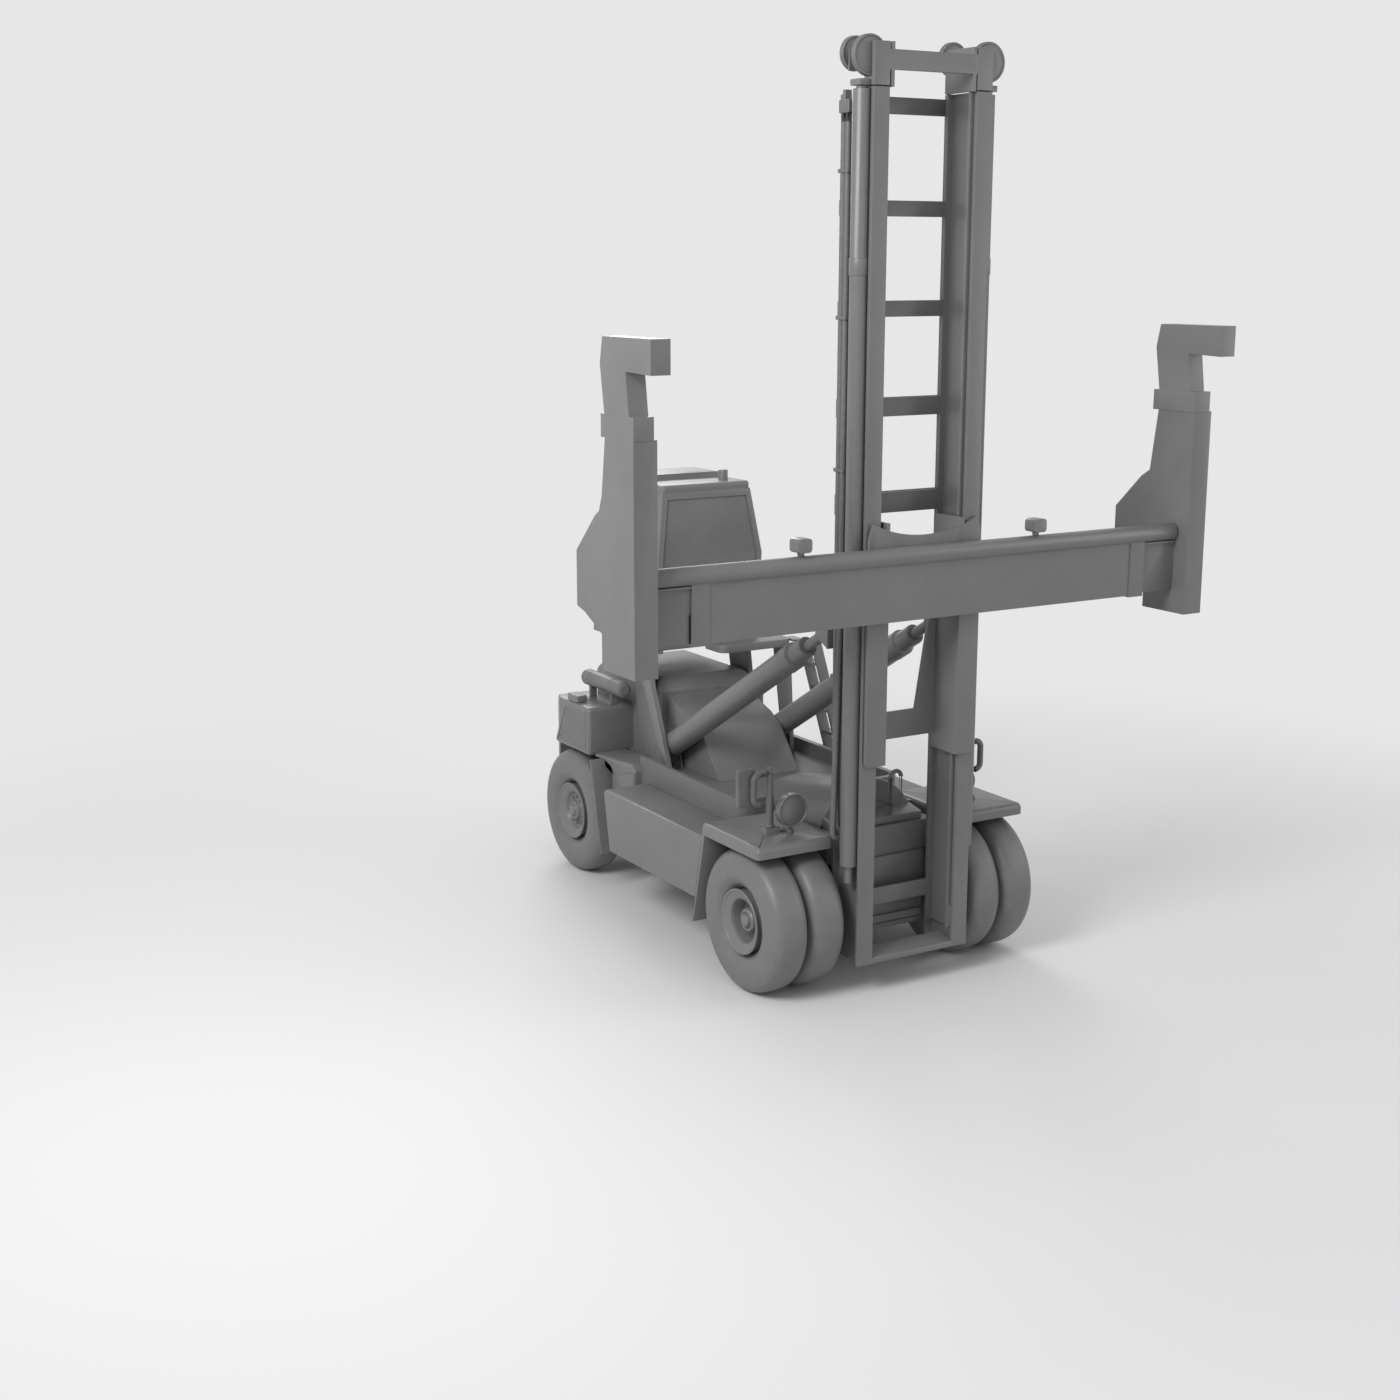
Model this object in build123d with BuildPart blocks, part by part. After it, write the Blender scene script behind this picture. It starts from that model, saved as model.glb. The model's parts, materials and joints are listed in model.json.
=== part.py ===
from build123d import *
import os
from math import hypot

os.makedirs("parts", exist_ok=True)

# Empty container handler. Millimetres. The ground is z = 0, the machine drives towards -Y and
# its right side is -X. Distances along Y are given behind the mast's front face.

# Driving dimensions
hook_reach = 598          # hook fronts ahead of the mast face
front_axle = 679
wheelbase = 4030
steer_axle = front_axle + wheelbase
rear_overhang = 991       # counterweight's rear behind the steered axle
rear_reach = steer_axle + rear_overhang
seat = 0.3                # gap of a curved seat or a running fit
running = 10              # gap between pieces that pass each other

tyre_radius = 664
tyre_width = 370
tyre_shoulder = 120
rim_radius = 316
rim_wall = 30
twin_outer = 1455         # outer face of the outer front tyre, from the centre plane
twin_gap = 20
steer_outer = 1105        # outer face of a rear tyre
kingpin_x = 780

mast_half = 611           # outer edge of the fixed rails' flanges
mast_depth = 445
flange_width = 160
flange_wall = 40
web_outer = 550
web_wall = 30
mast_foot = 294
mast_top = 7855
head_top = 8210
rail_gap = 15             # between a fixed rail and the rail that runs in it

lift_x = 640
lift_y = 127
lift_radius = 80
lift_rod_radius = 50

tilt_x = 600
tilt_eye = (580, 3251)    # y and z of their pins on the mast
tilt_pin_radius = 45
tilt_barrel_radius = 122
tilt_rod_radius = 50
tilt_barrel_length = 2780
tilt_gland = 210          # narrower sleeve at the barrel's mouth

carriage_foot = 2140
carriage_top = 4280
carriage_half = 600
carriage_plate_x = 385
carriage_wall = 30

beam_front = -160
beam_back = -46
beam_foot = 3439
beam_top = 3940
beam_wall = 8
tube_radius = 80
tube_y = beam_back - tube_radius
tube_z = 4000
arm_outer = 3034
arm_inner = arm_outer - 214
beam_half = arm_inner - 392

body_half = 945           # outer face of the chassis walls
body_foot = 550
deck_height = 1380
wall_height = deck_height + 150
body_front = 1480
body_back = steer_axle - 809
nose_half = 485
nose_shelf = 1100         # above it the nose is as wide as the neck
neck_half = 600
hood_half = 560
hood_top = 2240
rear_plate = deck_height - 20
rear_floor = deck_height + 20
rear_box_top = deck_height + 500
weight_half = 860
tilt_base = (3460, deck_height + 180)  # y and z of the tilt cylinders' pivots
box_half = 1440
box_top = 1280
box_foot = 665
fender_half = 1490
fender_top = 2 * tyre_radius + 122

cab_floor_height = 2620
cab_waist = 3500
cab_eaves = 4170
cab_wall = 45
door_gap = 10
hinge_x = 640             # the door's hinge line
hinge_y = 4645
hinge_feet = (2780, 3380)

axle_radius = 130
bulge_radius = 240         # differential housing, set back on the axle
bulge_back = 110
face = hook_reach - (hook_reach + rear_reach) / 2
sides = (-1, 1)


def span(side, low, high):
    """Return the X range from low to high on one side of the centre plane."""
    return (min(side * low, side * high), max(side * low, side * high))


def slab(x, y, z, mode=Mode.ADD):
    """Add a block from its X, Y and Z ranges, with Y behind the mast face."""
    middle = ((x[0] + x[1]) / 2, face + (y[0] + y[1]) / 2, (z[0] + z[1]) / 2)
    with Locations(middle):
        Box(x[1] - x[0], y[1] - y[0], z[1] - z[0], mode=mode)


def side_plate(points, x, mode=Mode.ADD):
    """Extrude an outline of (y, z) points over an X range."""
    with BuildSketch(Plane.YZ.offset(x[0])) as outline:
        with BuildLine():
            Polyline(*[(face + y, z) for y, z in points], close=True)
        make_face()
    extrude(outline.sketch, amount=x[1] - x[0], mode=mode)


def cross_plate(points, y, mode=Mode.ADD):
    """Extrude an outline of (x, z) points over a Y range."""
    with BuildSketch(Plane.XZ.offset(-face - y[1])) as outline:
        with BuildLine():
            Polyline(*points, close=True)
        make_face()
    extrude(outline.sketch, amount=y[1] - y[0], mode=mode)


def flat_plate(points, z, mode=Mode.ADD):
    """Extrude an outline of (x, y) points over a Z range."""
    with BuildSketch(Plane.XY.offset(z[0])) as outline:
        with BuildLine():
            Polyline(*[(x, face + y) for x, y in points], close=True)
        make_face()
    extrude(outline.sketch, amount=z[1] - z[0], mode=mode)


def round_bar(start, end, radius, mode=Mode.ADD):
    """Add a cylinder between two (x, y, z) points."""
    low = Vector(start[0], face + start[1], start[2])
    high = Vector(end[0], face + end[1], end[2])
    with BuildSketch(Plane(origin=low, z_dir=high - low)) as outline:
        Circle(radius)
    extrude(outline.sketch, amount=(high - low).length, mode=mode)


def turned(profile, y, z, mode=Mode.ADD):
    """Turn an outline of (x, radius) points about the X line through y and z."""
    with BuildSketch(Plane(origin=(0, face + y, z), x_dir=(1, 0, 0), z_dir=(0, -1, 0))) as outline:
        with BuildLine():
            Polyline(*profile, close=True)
        make_face()
    revolve(outline.sketch, axis=Axis((0, face + y, z), (1, 0, 0)), mode=mode)


def tyre(outer, side, y):
    """Add a smooth tyre with round shoulders whose outer side lies at outer."""
    low, high = span(side, outer - tyre_width, outer)
    with BuildSketch(Plane(origin=(0, face + y, tyre_radius), x_dir=(1, 0, 0), z_dir=(0, -1, 0))) as outline:
        with Locations(((low + high) / 2, (rim_radius + tyre_radius) / 2)):
            Rectangle(tyre_width, tyre_radius - rim_radius)
        fillet(outline.vertices().group_by(Axis.Y)[-1], tyre_shoulder)
        fillet(outline.vertices().group_by(Axis.Y)[0], 30)
    revolve(outline.sketch, axis=Axis((0, face + y, tyre_radius), (1, 0, 0)))


# Chassis: a closed hull between the axles with low walls round its deck, a neck and a nose
# over the drive axle, and a plate and a spine over the steered axle
with BuildPart() as chassis_frame:
    with BuildSketch(Plane.XY.offset(body_foot)) as hull:
        with Locations((0, face + (body_front + body_back) / 2)):
            Rectangle(2 * body_half, body_back - body_front)
        fillet(hull.vertices().group_by(Axis.Y)[0], 180)
    extrude(amount=wall_height - body_foot)
    with BuildSketch(Plane.XY.offset(deck_height)) as well:
        with Locations((0, face + (body_front + body_back) / 2)):
            Rectangle(2 * body_half - 120, body_back - body_front - 120)
        fillet(well.vertices().group_by(Axis.Y)[0], 120)
    extrude(amount=wall_height - deck_height, mode=Mode.SUBTRACT)
    slab((-body_half, body_half), (3420, body_back), (deck_height, wall_height), mode=Mode.SUBTRACT)
    slab((-neck_half, neck_half), (950, body_front + 60), (600, deck_height))
    slab((-nose_half, nose_half), (500, 950), (740, nose_shelf))
    slab((-neck_half, neck_half), (530, 950), (nose_shelf, deck_height))
    slab((-560, 560), (body_front - 1, body_front + 61), (deck_height, wall_height), mode=Mode.SUBTRACT)
    slab((-neck_half, neck_half), (body_back, steer_axle + 381), (rear_plate, rear_floor))
    slab((-neck_half, neck_half), (tilt_base[0] + 140, body_back), (deck_height, rear_floor))
    slab((-150, 150), (body_back, steer_axle + 591), (820, rear_plate))
    round_bar((-nose_half, front_axle, tyre_radius), (nose_half, front_axle, tyre_radius),
              axle_radius + seat, mode=Mode.SUBTRACT)
    turned([(-230, 0), (-230, 160), (-130, bulge_radius + running), (130, bulge_radius + running), (230, 160),
            (230, 0)], front_axle + bulge_back, tyre_radius, mode=Mode.SUBTRACT)
    for side in sides:
        slab(span(side, 445, 475), (500, 540), (400, 760))
    slab((-475, 475), (500, 540), (400, 450))
chassis_frame.part.label = "chassis_frame"
export_step(chassis_frame.part, "parts/chassis_frame.step")

# Cover over the transmission with a rounded top that falls to the rear, a shelf ahead of it and
# a tube handrail on its front
with BuildPart() as front_cover:
    side_plate([(750, deck_height), (750, 1810), (1950, 1545), (1950, deck_height)], (-550, 550))
    top_edges = [edge for edge in front_cover.edges()
                 if abs(edge.center().X) > 549 and edge.center().Z > deck_height + 200]
    fillet([edge for edge in top_edges if edge.length > 1000], 90)
    side_plate([(570, deck_height), (570, 1450), (760, 1500), (760, deck_height)], (-500, 500))
    with BuildLine() as handrail:
        FilletPolyline((149, face + 760, 1670), (149, face + 600, 1670), (149, face + 600, 1860),
                       (279, face + 600, 1860), (279, face + 600, 1670), (279, face + 760, 1670), radius=40)
    with BuildSketch(Plane(origin=handrail.line @ 0, z_dir=handrail.line % 0)):
        Circle(15)
    sweep()
front_cover.part.label = "front_cover"
export_step(front_cover.part, "parts/front_cover.step")

# Hollow hood over the engine: a narrow cowl between the tilt cylinders, then the wide hood
hood_front = tilt_base[0] + 190
hood_back = steer_axle + 371
hood_side = [(hood_front, rear_floor), (hood_front, 2110), (hood_front + 130, hood_top),
             (hood_back - 130, hood_top), (hood_back, 2110), (hood_back, rear_floor)]
hood_room = [(hood_front + 30, rear_floor), (hood_front + 30, 2100), (hood_front + 142, hood_top - 30),
             (hood_back - 142, hood_top - 30), (hood_back - 30, 2100), (hood_back - 30, rear_floor)]
with BuildPart() as engine_hood:
    side_plate(hood_side, (-hood_half, hood_half))
    fillet(engine_hood.edges().filter_by(Axis.Y).group_by(Axis.Z)[-1], 120)
    side_plate(hood_room, (30 - hood_half, hood_half - 30), mode=Mode.SUBTRACT)
    side_plate([(2622, deck_height), (2965, 1792), (3150, 1900), (hood_front, 2060), (hood_front, rear_floor),
                (tilt_base[0] + 140, rear_floor), (tilt_base[0] + 140, deck_height)], (-470, 470))
engine_hood.part.label = "engine_hood"
export_step(engine_hood.part, "parts/engine_hood.step")

with BuildPart() as engine_block:
    slab((-380, 380), (hood_front + 110, hood_back - 180), (rear_floor, rear_floor + 450))
engine_block.part.label = "engine_block"
export_step(engine_block.part, "parts/engine_block.step")

# Counterweight behind the rear wheels' sweep, drawn in towards its rear
weight_front = steer_axle + 761
with BuildPart() as counterweight:
    side_plate([(weight_front - 370, rear_plate), (weight_front - 370, 1760), (weight_front + 90, 1760),
                (rear_reach, 1600), (rear_reach, 650), (weight_front, 600), (weight_front, rear_plate)],
               (-weight_half, weight_half))
    flat_plate([(-weight_half, weight_front - 370), (weight_half, weight_front - 370),
                (weight_half, weight_front - 50), (weight_half - 120, rear_reach),
                (120 - weight_half, rear_reach), (-weight_half, weight_front - 50)], (600, 1760),
               mode=Mode.INTERSECT)
    fillet(counterweight.edges().filter_by(Axis.Z).group_by(Axis.Y)[-1], 90)
    slab((-150, 150), (steer_axle + 591, weight_front), (820, rear_plate))
counterweight.part.label = "counterweight"
export_step(counterweight.part, "parts/counterweight.step")

# Fuel and oil tanks along both sides
with BuildPart() as side_tanks:
    for side in sides:
        side_plate([(1345, box_top), (1472, box_foot), (3170, box_foot), (3290, box_top)],
                   span(side, body_half, box_half))
    tank_edges = side_tanks.edges().filter_by(Axis.Y).group_by(Axis.Z)[-1]
    fillet([edge for edge in tank_edges if abs(edge.center().X) > box_half - 1], 45)
side_tanks.part.label = "side_tanks"
export_step(side_tanks.part, "parts/side_tanks.step")

# Boxes over the rear wheels, each with a slatted side, and the mudguard strips ahead of them
fender_side = [(steer_axle - 447, rear_plate), (steer_axle - 447, rear_box_top), (steer_axle + 120, rear_box_top),
               (steer_axle + 376, rear_plate)]
grille_side = [(steer_axle - 379, deck_height + 40), (steer_axle - 379, deck_height + 430),
               (steer_axle + 80, deck_height + 430), (steer_axle + 270, deck_height + 40)]
with BuildPart() as rear_fenders:
    for side in sides:
        side_plate(fender_side, span(side, neck_half, 1100))
        side_plate(grille_side, span(side, 1070, 1100), mode=Mode.SUBTRACT)
        for z in range(deck_height + 90, deck_height + 420, 60):
            slab(span(side, 1070, 1092), (steer_axle - 379, steer_axle + 60), (z, z + 18))
        slab(span(side, 950, 1080), (steer_axle - 149, steer_axle + 81), (rear_box_top, rear_box_top + 80))
        slab(span(side, 1000, 1090), (steer_axle - 669, steer_axle - 447), (rear_plate - 15, rear_plate + 30))
        side_plate([(steer_axle - 669, rear_plate + 30), (steer_axle - 655, rear_plate + 30),
                    (steer_axle - 875, 400), (steer_axle - 889, 400)], span(side, 1000, 1200))
        slab(span(side, body_half, 1010), (body_back - 40, body_back - 5), (700, 760))
rear_fenders.part.label = "rear_fenders"
export_step(rear_fenders.part, "parts/rear_fenders.step")

# Folded plates over the twin wheels, with a drooped front lip and a long rear flap
flap = [(1270, fender_top), (1255, fender_top - 20), (1485, 430), (1500, 430), (1290, fender_top)]
with BuildPart() as front_fenders:
    for side in sides:
        slab(span(side, 680, fender_half), (330, 1280), (fender_top - 20, fender_top))
        slab(span(side, fender_half - 15, fender_half), (330, 1260), (1340, fender_top))
        side_plate([(330, fender_top), (345, fender_top - 20), (312, 1350), (297, 1355)],
                   span(side, 680, fender_half))
        side_plate(flap, span(side, 700, fender_half - 40))
        slab(span(side, neck_half, 680), (980, 1120), (min(deck_height, fender_top - 40) - 80, fender_top - 20))
        slab(span(side, neck_half, 1000), (980, 1120), (fender_top - 70, fender_top - 20))
front_fenders.part.label = "front_fenders"
export_step(front_fenders.part, "parts/front_fenders.step")

with BuildPart() as headlamps:
    for side in sides:
        round_bar((side * 950, 550, 1664), (side * 950, 660, 1664), 145)
        round_bar((side * 950, 610, fender_top), (side * 950, 610, 1560), 20)
headlamps.part.label = "headlamps"
export_step(headlamps.part, "parts/headlamps.step")

with BuildPart() as mirrors:
    for side in sides:
        slab(span(side, 1010, 1190), (640, 770), (fender_top, 1510))
        round_bar((side * 1100, 705, 1510), (side * 1100, 705, 2050), 33)
        with BuildLine() as bow:
            FilletPolyline((side * 1100, face + 705, 1985), (side * 1250, face + 705, 1985),
                           (side * 1250, face + 705, 1735), (side * 1100, face + 705, 1735), radius=50)
        with BuildSketch(Plane(origin=bow.line @ 0, z_dir=bow.line % 0)):
            Circle(22)
        sweep()
    slab((-1310, -1250), (690, 720), (1820, 1880))
    slab((-1420, -1300), (685, 725), (1700, 2045))
mirrors.part.label = "mirrors"
export_step(mirrors.part, "parts/mirrors.step")

# Drive axle: a tube that carries the nose and the mast's ears, drums and spindles at its ends
drum_out = twin_outer - 375
with BuildPart() as front_axle_beam:
    steps = [(650, axle_radius), (700, 220), (drum_out, 220), (drum_out, 90), (1290, 90), (1290, 0)]
    turned([(-x, radius) for x, radius in reversed(steps)] + steps, front_axle, tyre_radius)
    turned([(-220, 0), (-220, 160), (-120, bulge_radius), (120, bulge_radius), (220, 160), (220, 0)],
           front_axle + bulge_back, tyre_radius)
front_axle_beam.part.label = "front_axle_beam"
export_step(front_axle_beam.part, "parts/front_axle_beam.step")

# Steered axle: a tapered beam that hangs from the spine, with an eye for each kingpin
with BuildPart() as steer_axle_beam:
    flat_plate([(-450, steer_axle - 110), (450, steer_axle - 110), (700, steer_axle - 55),
                (700, steer_axle + 55), (450, steer_axle + 110), (-450, steer_axle + 110),
                (-700, steer_axle + 55), (-700, steer_axle - 55)], (604, 724))
    slab((-300, 300), (steer_axle - 100, steer_axle + 100), (540, 790))
    slab((-140, 140), (steer_axle - 100, steer_axle + 100), (780, 820))
    for side in sides:
        slab(span(side, 690, kingpin_x), (steer_axle - 55, steer_axle + 55), (604, 724))
        round_bar((side * kingpin_x, steer_axle, 604), (side * kingpin_x, steer_axle, 724), 80)
        round_bar((side * kingpin_x, steer_axle, 600), (side * kingpin_x, steer_axle, 730),
                  40 + seat, mode=Mode.SUBTRACT)
    round_bar((-300, steer_axle + 150, 664), (300, steer_axle + 150, 664), 50)
steer_axle_beam.part.label = "steer_axle_beam"
export_step(steer_axle_beam.part, "parts/steer_axle_beam.step")

# Ears and pins that hold the tilt cylinders on the deck
with BuildPart() as tilt_brackets:
    for side in sides:
        for near in (495, 685):
            side_plate([(tilt_base[0] - 160, deck_height), (tilt_base[0] - 70, tilt_base[1] + 50),
                        (tilt_base[0] - 30, tilt_base[1] + 80), (tilt_base[0] + 30, tilt_base[1] + 80),
                        (tilt_base[0] + 70, tilt_base[1] + 50), (tilt_base[0] + 130, deck_height)],
                       span(side, near, near + 20))
        round_bar((side * 495, *tilt_base), (side * 705, *tilt_base), tilt_pin_radius)
tilt_brackets.part.label = "tilt_brackets"
export_step(tilt_brackets.part, "parts/tilt_brackets.step")

# Legs under the cab: one tapered plate on each side of the deck, outside the tilt cylinders, and
# a broad leaning post on each side of the hood
platform_foot = 2560
landing_foot = 2530
leg_near = tilt_x + tilt_barrel_radius + running
post_near = hood_half + 5
with BuildPart() as cab_legs:
    side_plate([(3090, deck_height), (3190, deck_height), (3800, platform_foot), (3600, platform_foot)],
               span(-1, leg_near, leg_near + 55))
    slab(span(-1, 560, leg_near + 55), (3600, 3800), (platform_foot - 30, platform_foot))
    side_plate([(3180, deck_height), (3330, deck_height), (3540, landing_foot), (3270, landing_foot)],
               span(1, leg_near, leg_near + 55))
    for side in sides:
        side_plate([(3600, rear_floor), (body_back, rear_floor), (4015, 1700), (4210, platform_foot),
                    (3825, platform_foot)], span(side, post_near, post_near + 60))
cab_legs.part.label = "cab_legs"
export_step(cab_legs.part, "parts/cab_legs.step")

# Floor under the cab and the shallow landing at the head of the ladder
with BuildPart() as cab_platform:
    slab((-630, 630), (3600, 5020), (platform_foot, cab_floor_height))
    with BuildSketch(Plane.XY.offset(landing_foot)) as landing:
        with Locations((385, face + 3450)):
            Rectangle(870, 340)
        fillet(landing.vertices().group_by(Axis.Y)[0], 100)
    extrude(amount=80)
cab_platform.part.label = "cab_platform"
export_step(cab_platform.part, "parts/cab_platform.step")

# Steps on the left-hand side, from the tank's top to the landing
with BuildPart() as ladder:
    for y in (3020, 3260):
        cross_plate([(1260, box_top), (1380, box_top), (1000, 2600), (880, 2600)], (y, y + 30))
    for row in range(4):
        rise = 1560 + row * 260
        x = 1320 - (rise - box_top) * 380 / 1320
        slab((x - 60, x + 60), (3050, 3260), (rise, rise + 30))
    slab((820, 940), (3260, 3460), (2575, 2600))
ladder.part.label = "ladder"
export_step(ladder.part, "parts/ladder.step")

# Cab shell. Each level: height, half width, front, back
cab_levels = [(cab_floor_height, 600, 3660, 5000), (cab_waist, 620, 3590, 5020),
              (cab_eaves, 520, 3670, 4950)]
door_edge = [(3760, 2670), (3730, cab_waist), (3790, 4100), (4640, 4100), (4640, 2670)]
door_pane = [(3840, 2800), (3815, cab_waist), (3865, 4030), (4570, 4030), (4570, 2800)]
front_pane = [(-540, 2860), (540, 2860), (565, cab_waist), (470, 4100), (-470, 4100), (-565, cab_waist)]
rear_pane = [(-480, 3060), (480, 3060), (480, cab_waist), (410, 4050), (-410, 4050), (-480, cab_waist)]
left_panes = [[(3750, 2860), (3720, cab_waist), (3790, 4070), (4280, 4070), (4280, 2860)],
              [(4350, 2960), (4350, 4070), (4860, 4070), (4900, cab_waist), (4900, 2960)]]
quarter_pane = [(4710, 3060), (4710, 4070), (4860, 4070), (4900, cab_waist), (4900, 3060)]


def cab_block(inset, mode=Mode.ADD):
    """Add the cab's outer form, drawn in by inset on every side."""
    for low, high in zip(cab_levels, cab_levels[1:]):
        rings = []
        for z, half, front, back in (low, high):
            with BuildSketch(Plane.XY.offset(z)) as ring:
                with Locations((0, face + (front + back) / 2)):
                    Rectangle(2 * (half - inset), back - front - 2 * inset)
            rings.append(ring.sketch)
        loft(rings, ruled=True, mode=mode)


def cut_panes(mode=Mode.SUBTRACT):
    """Cut the window holes that are fixed in the shell."""
    cross_plate(front_pane, (3500, 3780), mode=mode)
    cross_plate(rear_pane, (4850, 5100), mode=mode)
    for pane in left_panes:
        side_plate(pane, (-700, -400), mode=mode)
    side_plate(quarter_pane, (400, 700), mode=mode)


with BuildPart() as cab_shell:
    cab_block(0)
    cab_block(cab_wall, mode=Mode.SUBTRACT)
    cut_panes()
    side_plate([(3760 - door_gap, 2670 - door_gap), (3730 - door_gap, cab_waist),
                (3790 - door_gap, 4100 + door_gap), (4640 + door_gap, 4100 + door_gap),
                (4640 + door_gap, 2670 - door_gap)], (400, 700), mode=Mode.SUBTRACT)
    for z in hinge_feet:
        slab((575, hinge_x), (4655, 4700), (z + 60, z + 120))
        round_bar((hinge_x, hinge_y, z + 60), (hinge_x, hinge_y, z + 120), 16)
        round_bar((hinge_x, hinge_y, z), (hinge_x, hinge_y, z + 70), 8)
cab_shell.part.label = "cab_shell"
export_step(cab_shell.part, "parts/cab_shell.step")

# Roof with rounded edges, a raised hatch and round lamps. Each lamp: x, y
roof_top = cab_eaves + 75
with BuildPart() as cab_roof:
    with BuildSketch(Plane.XY.offset(cab_eaves)) as ring:
        with Locations((0, face + 4310)):
            Rectangle(1040, 1280)
        fillet(ring.vertices(), 40)
    extrude(amount=roof_top - cab_eaves)
    fillet(cab_roof.edges().group_by(Axis.Z)[-1], 30)
    slab((-440, 440), (4180, 4700), (roof_top - 5, roof_top + 55))
    for x, y in ((342, 3920), (-400, 4830), (-250, 4830)):
        round_bar((x, y, roof_top - 5), (x, y, roof_top + 100), 50)
cab_roof.part.label = "cab_roof"
export_step(cab_roof.part, "parts/cab_roof.step")

with BuildPart() as cab_glass:
    cab_block(18)
    cab_block(26, mode=Mode.SUBTRACT)
    with BuildPart(mode=Mode.PRIVATE) as pane_zone:
        cut_panes(mode=Mode.ADD)
    add(pane_zone.part, mode=Mode.INTERSECT)
cab_glass.part.label = "cab_glass"
export_step(cab_glass.part, "parts/cab_glass.step")

with BuildPart() as cab_door:
    cab_block(0)
    cab_block(cab_wall, mode=Mode.SUBTRACT)
    with BuildPart(mode=Mode.PRIVATE) as door_zone:
        side_plate(door_edge, (400, 700))
        side_plate(door_pane, (400, 700), mode=Mode.SUBTRACT)
    add(door_zone.part, mode=Mode.INTERSECT)
    for z in (3020, 3280):
        round_bar((590, 3800, z), (665, 3800, z), 12)
    round_bar((665, 3800, 2990), (665, 3800, 3310), 12)
    for z in hinge_feet:
        slab((575, hinge_x), (4590, 4635), (z, z + 60))
        round_bar((hinge_x, hinge_y, z), (hinge_x, hinge_y, z + 60), 16)
        round_bar((hinge_x, hinge_y, z - 1), (hinge_x, hinge_y, z + 61), 8 + seat, mode=Mode.SUBTRACT)
cab_door.part.label = "cab_door"
export_step(cab_door.part, "parts/cab_door.step")

with BuildPart() as door_glass:
    cab_block(18)
    cab_block(26, mode=Mode.SUBTRACT)
    with BuildPart(mode=Mode.PRIVATE) as pane_zone:
        side_plate(door_pane, (400, 700))
    add(pane_zone.part, mode=Mode.INTERSECT)
door_glass.part.label = "door_glass"
export_step(door_glass.part, "parts/door_glass.step")

with BuildPart() as cab_seat:
    slab((-180, 180), (4330, 4650), (cab_floor_height, 2950))
    slab((-250, 250), (4240, 4720), (2950, 3080))
    side_plate([(4640, 3080), (4760, 3080), (4860, 3740), (4760, 3740)], (-240, 240))
cab_seat.part.label = "cab_seat"
export_step(cab_seat.part, "parts/cab_seat.step")

with BuildPart() as cab_console:
    side_plate([(3760, cab_floor_height), (3900, cab_floor_height), (4000, 3150), (3900, 3180)], (-90, 90))
    round_bar((0, 3950, 3150), (0, 4010, 3270), 25)
    round_bar((0, 3998, 3246), (0, 4014, 3278), 170)
cab_console.part.label = "cab_console"
export_step(cab_console.part, "parts/cab_console.step")

with BuildPart() as exhaust:
    round_bar((-760, steer_axle - 634, rear_box_top + 195), (-760, steer_axle + 226, rear_box_top + 195), 88)
    for y in (steer_axle - 399, steer_axle + 70):
        slab((-800, -720), (y, y + 40), (rear_box_top, rear_box_top + 130))
exhaust.part.label = "exhaust"
export_step(exhaust.part, "parts/exhaust.step")

# Fixed rails: channels open towards each other, with ears round the axle and for the tilt rods
ear = [(mast_depth, 380), (560, 440), (800, 440), (880, 560), (880, 780), (800, 880), (560, 920),
       (mast_depth, 1050)]
with BuildPart() as outer_uprights:
    for side in sides:
        for y in (0, mast_depth - flange_wall):
            slab(span(side, mast_half - flange_width, mast_half), (y, y + flange_wall),
                 (mast_foot, mast_top))
        slab(span(side, web_outer - web_wall, web_outer), (flange_wall, mast_depth - flange_wall),
             (mast_foot, mast_top))
        side_plate(ear, span(side, 500, 580))
        round_bar((side * 490, front_axle, tyre_radius), (side * 590, front_axle, tyre_radius),
                  axle_radius + seat, mode=Mode.SUBTRACT)
        slab(span(side, 515, 685), (mast_depth, mast_depth + 20), (3130, 3370))
        for near in (515, 660):
            side_plate([(mast_depth, 3130), (560, 3180), (640, 3210), (640, 3300), (560, 3330),
                        (mast_depth, 3370)], span(side, near, near + 25))
        round_bar((side * 515, *tilt_eye), (side * 685, *tilt_eye), tilt_pin_radius)
outer_uprights.part.label = "outer_uprights"
export_step(outer_uprights.part, "parts/outer_uprights.step")

# Rear ties of the fixed rails and the sill at their feet. Each tie: foot, top
tie_levels = [(7680, 7820), (6840, 6970), (6000, 6135), (5150, 5310), (4310, 4490)]
sill = [(0, mast_foot), (0, 345), (180, 400), (180, mast_foot)]
with BuildPart() as outer_ties:
    for low, high in tie_levels:
        slab((-mast_half, mast_half), (mast_depth, mast_depth + 35), (low, high))
    side_plate(sill, (flange_width - mast_half, mast_half - flange_width))
outer_ties.part.label = "outer_ties"
export_step(outer_ties.part, "parts/outer_ties.step")

with BuildPart() as lift_barrels:
    for side in sides:
        x = side * lift_x
        round_bar((x, lift_y, 1220), (x, lift_y, mast_top - 15), lift_radius)
        round_bar((x, lift_y, 6350), (x, lift_y, 6490), lift_radius + 6)
        round_bar((x, lift_y, 1250), (x, lift_y, mast_top), lift_rod_radius + seat, mode=Mode.SUBTRACT)
        round_bar((x, lift_y, 1060), (x, lift_y, 1230), 40)
        for z in (1230, 4200, 6350):
            slab(span(side, web_outer, lift_x - 60), (lift_y - 40, lift_y + 40), (z, z + 140))
lift_barrels.part.label = "lift_barrels"
export_step(lift_barrels.part, "parts/lift_barrels.step")

with BuildPart() as lift_rods:
    for side in sides:
        x = side * lift_x
        round_bar((x, lift_y, 1300), (x, lift_y, mast_top + 10), lift_rod_radius)
lift_rods.part.label = "lift_rods"
export_step(lift_rods.part, "parts/lift_rods.step")

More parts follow.
